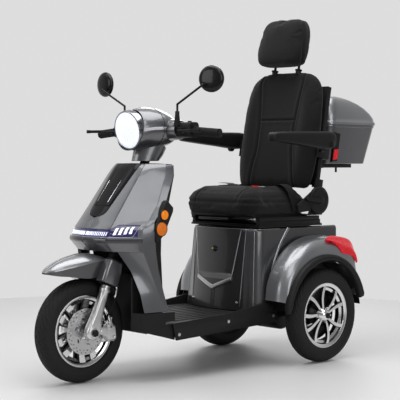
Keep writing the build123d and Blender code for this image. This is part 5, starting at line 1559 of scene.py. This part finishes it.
# Painted glow: the mark glows by emission though it is no lamp.
mark = [[on_front(-6 + 4.2 * r * math.cos(a), PORT_Z + 4.2 * r * math.sin(a), 11)
         for a in steps(0, 2 * math.pi, 16)] for r in (1.0, 0.02)]
make("charge_mark", skin(mark, 1.5, (-300, 0, PORT_Z)), "chassis", GREEN_MARK_PAINTED_GLOW)
front_bolts = Shape()
for y, z in ((132, 268), (-140, 268)):
    place = on_front(y, z)
    front_bolts.add(tube([place + Vector((k, 0, 0)) for k in (-2, 3, 5)], [6.5, 6.5, 4], 16))
make("base_bolts", front_bolts, "chassis", CHROME)
print("seat base made")

# %% [markdown]
# The rear fenders are full, glossy curves. The path of the fender is a smooth line over the wheel; at each
# place along it the section runs out level from the body, rolls over a soft shoulder and drops to the wheel
# arch.

# %% rear fenders
AXLE = Vector((REAR_AXLE_X, 0, 205))
FENDER_PATH = [(-111, 284), (-122, 350), (-150, 412), (-195, 468), (-258, 514), (-335, 541), (-420, 548),
               (-505, 543), (-575, 526), (-606, 486), (-617, 420), (-619, 350), (-608, 284)]
SECTION = [(229, -2.0, 0.0), (233, 2.5, 0.0), (240, 4.0, 0.0), (249, 2.0, 0.0), (264, 0.0, 0.0), (284, -2, 0.0),
           (302, -6, 0.02), (317, -13, 0.06), (327, -18, 0.14), (333, -16, 0.28), (335.5, -8, 0.5),
           (336, 0, 0.75), (336, 0, 1.0)]
path = smooth_path([(x, 0, z) for x, z in FENDER_PATH], 5)


def fender_point(p, y, lift, drop, out=0.0):
    """Place on the fender for a point p of its path: drop runs from 0 at the top to 1 at the arch."""
    away = (p - AXLE).normalized()
    arch = AXLE + away * 243
    spot = p + (arch - p) * drop + away * (lift * (1 - drop) + out)
    return Vector((spot.x, y + (out if drop > 0.1 else 0), spot.z))


rear_rows = [[fender_point(p, *place) for place in SECTION] for p in path]
# Painted light: the shells take a lighter copy of the charcoal, for curves that face the lights above.
make("rear_fender_shells", both_sides(skin(rear_rows, 3, (REAR_AXLE_X, 230, 205))), "chassis", CHARCOAL_PAINTED_LIGHT,
     ["rear_fenders"], bevel=1.0, sharp=60)
lens_path = [p for p in path if p.x < -402 and p.z > 436]
lens_rows = []
for k, p in enumerate(lens_path):
    t = k / (len(lens_path) - 1)
    inner = 318 - 50 * min(1, t * 2.2)
    low = 0.06 + 0.58 * min(1, t / 0.34) - 0.26 * max(0, (t - 0.45) / 0.55)
    line = []
    for s in steps(0, 1, 14):
        y = inner + (336 - inner) * min(1, s * 1.25) ** 0.9
        drop = low * max(0, (s - 0.45) / 0.55) ** 1.3
        roll = -18 * math.exp(-((y - 328) / 14) ** 2)
        line.append(fender_point(p, y, roll * (1 - min(1, drop * 2)), drop, 3.2))
    lens_rows.append(line)
make("tail_lenses", both_sides(skin(lens_rows, 5, (REAR_AXLE_X, 230, 205))), "chassis", RED_LENS,
     ["tail_lights"], bevel=1.2, sharp=50)

# %% [markdown]
# A thick rubber flare edges each wheel arch. Its section is a rounded bar that draws in a little towards the
# back, and both ends taper into rounded tips. Inside, a black liner keeps mud off the body.

# %% flares and liners
FLARE = [(241, 331), (241, 350), (243.5, 356), (249, 358.5), (259, 358), (265.5, 353), (268, 345), (268, 331)]
flare_rows = []
for angle in steps(6, 164, 60):
    end = min(1, (angle - 5) / 7, (165 - angle) / 3) ** 0.5
    draw_in = min(max((angle - 108) / 50, 0), 1)
    a, ring = math.radians(angle), []
    for r, y in FLARE:
        r = 254 + (r - 254) * (0.35 + 0.65 * end) - draw_in * (7 if r > 254 else 19)
        y = 340 + (y - 340) * (0.4 + 0.6 * end)
        ring.append((AXLE.x + r * math.cos(a), y, AXLE.z + r * math.sin(a)))
    flare_rows.append(ring)
make("wheel_arch_flares", both_sides(loft(flare_rows)), "chassis", BLACK_PLASTIC, ["fender_flares"], bevel=1.6,
     sharp=25)
liner_rows = [[(AXLE.x + 239 * math.cos(math.radians(a)), y, AXLE.z + 239 * math.sin(math.radians(a)))
               for y in steps(230, 334, 4)] for a in steps(8, 172, 40)]
make("wheel_arch_liners", both_sides(skin(liner_rows, 2, (REAR_AXLE_X, 280, 205))), "chassis", SATIN_BLACK)
print("rear fenders made")

# %% [markdown]
# The top box is a tub with tapering walls under a domed lid that overhangs it. Both are thin shells, so the
# box is really hollow when it opens. Its outline at each height is a rounded rectangle.

# %% top box


def box_ring(front, rear, half, corner, z, per=7):
    ring = rounded((front + rear) / 2, 0, (front - rear) / 2, half, corner, z, per)
    return ring + [ring[0]]


tub_rows = [box_ring(-563 + 2 * t - 3, -846 - 51 * t, 181 + 18 * t, 30 + 8 * t, 868 + 168 * t)
            for t in steps(0, 1, 8)]
tub = skin(tub_rows, 3.5, (-720, 0, 950))
tub.add(loft([rounded(-706, 0, 138, 178, 28, z, 7) for z in (867, 871)]))
make("top_box_tub", tub, "back", CHARCOAL, ["top_box"], bevel=1.0, sharp=50)
rim_rows = [box_ring(-562 + out, -897 - out, 199 + out, 38 + out, z) for z,
            out in ((1034, 0.5), (1036, 3), (1043, 4.2), (1045.5, 3.2))]
make("top_box_rim", skin(rim_rows, 6, (-720, 0, 1040)), "back", CHARCOAL, bevel=0.8, sharp=40)
LID = [(1046.5, -561, -907, 203.5, 40), (1055, -560.5, -908, 204, 40), (1061, -561, -907, 203, 40),
       (1063, -563, -904, 200.5, 40), (1078, -563, -899, 200, 42), (1100, -564, -880, 197, 46),
       (1124, -566, -846, 193, 50), (1144, -568, -806, 187, 54), (1160, -571, -762, 179, 58),
       (1171, -576, -722, 168, 60), (1177, -584, -690, 152, 58), (1180, -600, -660, 126, 44)]
lid_rows = [box_ring(front, rear, half, min(corner, (front - rear) / 2 - 2), z) for z, front, rear, half,
            corner in LID]
lid = skin(lid_rows, 3.5, (-735, 0, 1080))
lid.add(loft([rounded(-630, 0, 31, 127, 28, z, 7) for z in (1176.5, 1180.2)]))
# Painted light: the domed lid takes a lighter copy of the charcoal than the tub.
make("top_box_lid", lid, "lid", CHARCOAL_PAINTED_LIGHT, ["box_lid"], bevel=1.0, sharp=50)
hasp = loft([rounded(-606, 0, 30 - k, 44 - k, 12, z, 5) for k, z in ((0, 1177), (0, 1181), (2, 1184),
                                                                     (5, 1185.5))])
make("lid_lock_plate", hasp, "lid", SATIN_BLACK, bevel=1.0, sharp=30)
hinge = bar((-912, -66, 1050), (-912, 66, 1050), 3.2)
make("lid_hinge_pin", hinge, "back", STEEL)


def on_tub_side(outline, proud):
    """Block on the tub's slanting side; proud lists how far each of its layers stands out."""
    return loft([[(x, 184 + 17 * (z - 876) / 134 + out, z) for x, z in outline] for out in proud])


housing = on_tub_side(((-588, 876), (-624, 880), (-627, 1004), (-590, 1010)), (-6, 5, 8))
red = on_tub_side(((-592, 884), (-620, 888), (-622, 934), (-593, 932)), (4, 8.8, 10.2))
make("box_lamp_housings", both_sides(housing), "back", SATIN_BLACK, bevel=1.5, sharp=30)
make("box_lamp_lenses", both_sides(red), "back", RED_LENS, bevel=1.2, sharp=30)
print("top box made")

# %% [markdown]
# The floor is a wide pale disc, matte with a hint of wax.

# %% floor


def floor_finish():
    made = Finish("studio_floor", (0.62, 0.615, 0.615), 0.45)
    made.set("Roughness", 0.4 + made.noise(3, 2) * 0.12)
    return made.material


FLOOR_SIDES, FLOOR_DROP = 96, 0.0003
floor_edge = [2 * math.pi * k / FLOOR_SIDES for k in range(FLOOR_SIDES)]
floor_mesh = bpy.data.meshes.new("studio_floor")
floor_mesh.from_pydata([(FLOOR_RADIUS * math.cos(a), FLOOR_RADIUS * math.sin(a), -FLOOR_DROP)
                        for a in floor_edge], [], [tuple(range(FLOOR_SIDES))])
floor_piece = bpy.data.objects.new("studio_floor", floor_mesh)
floor_mesh.materials.append(floor_finish())
bpy.context.scene.collection.objects.link(floor_piece)
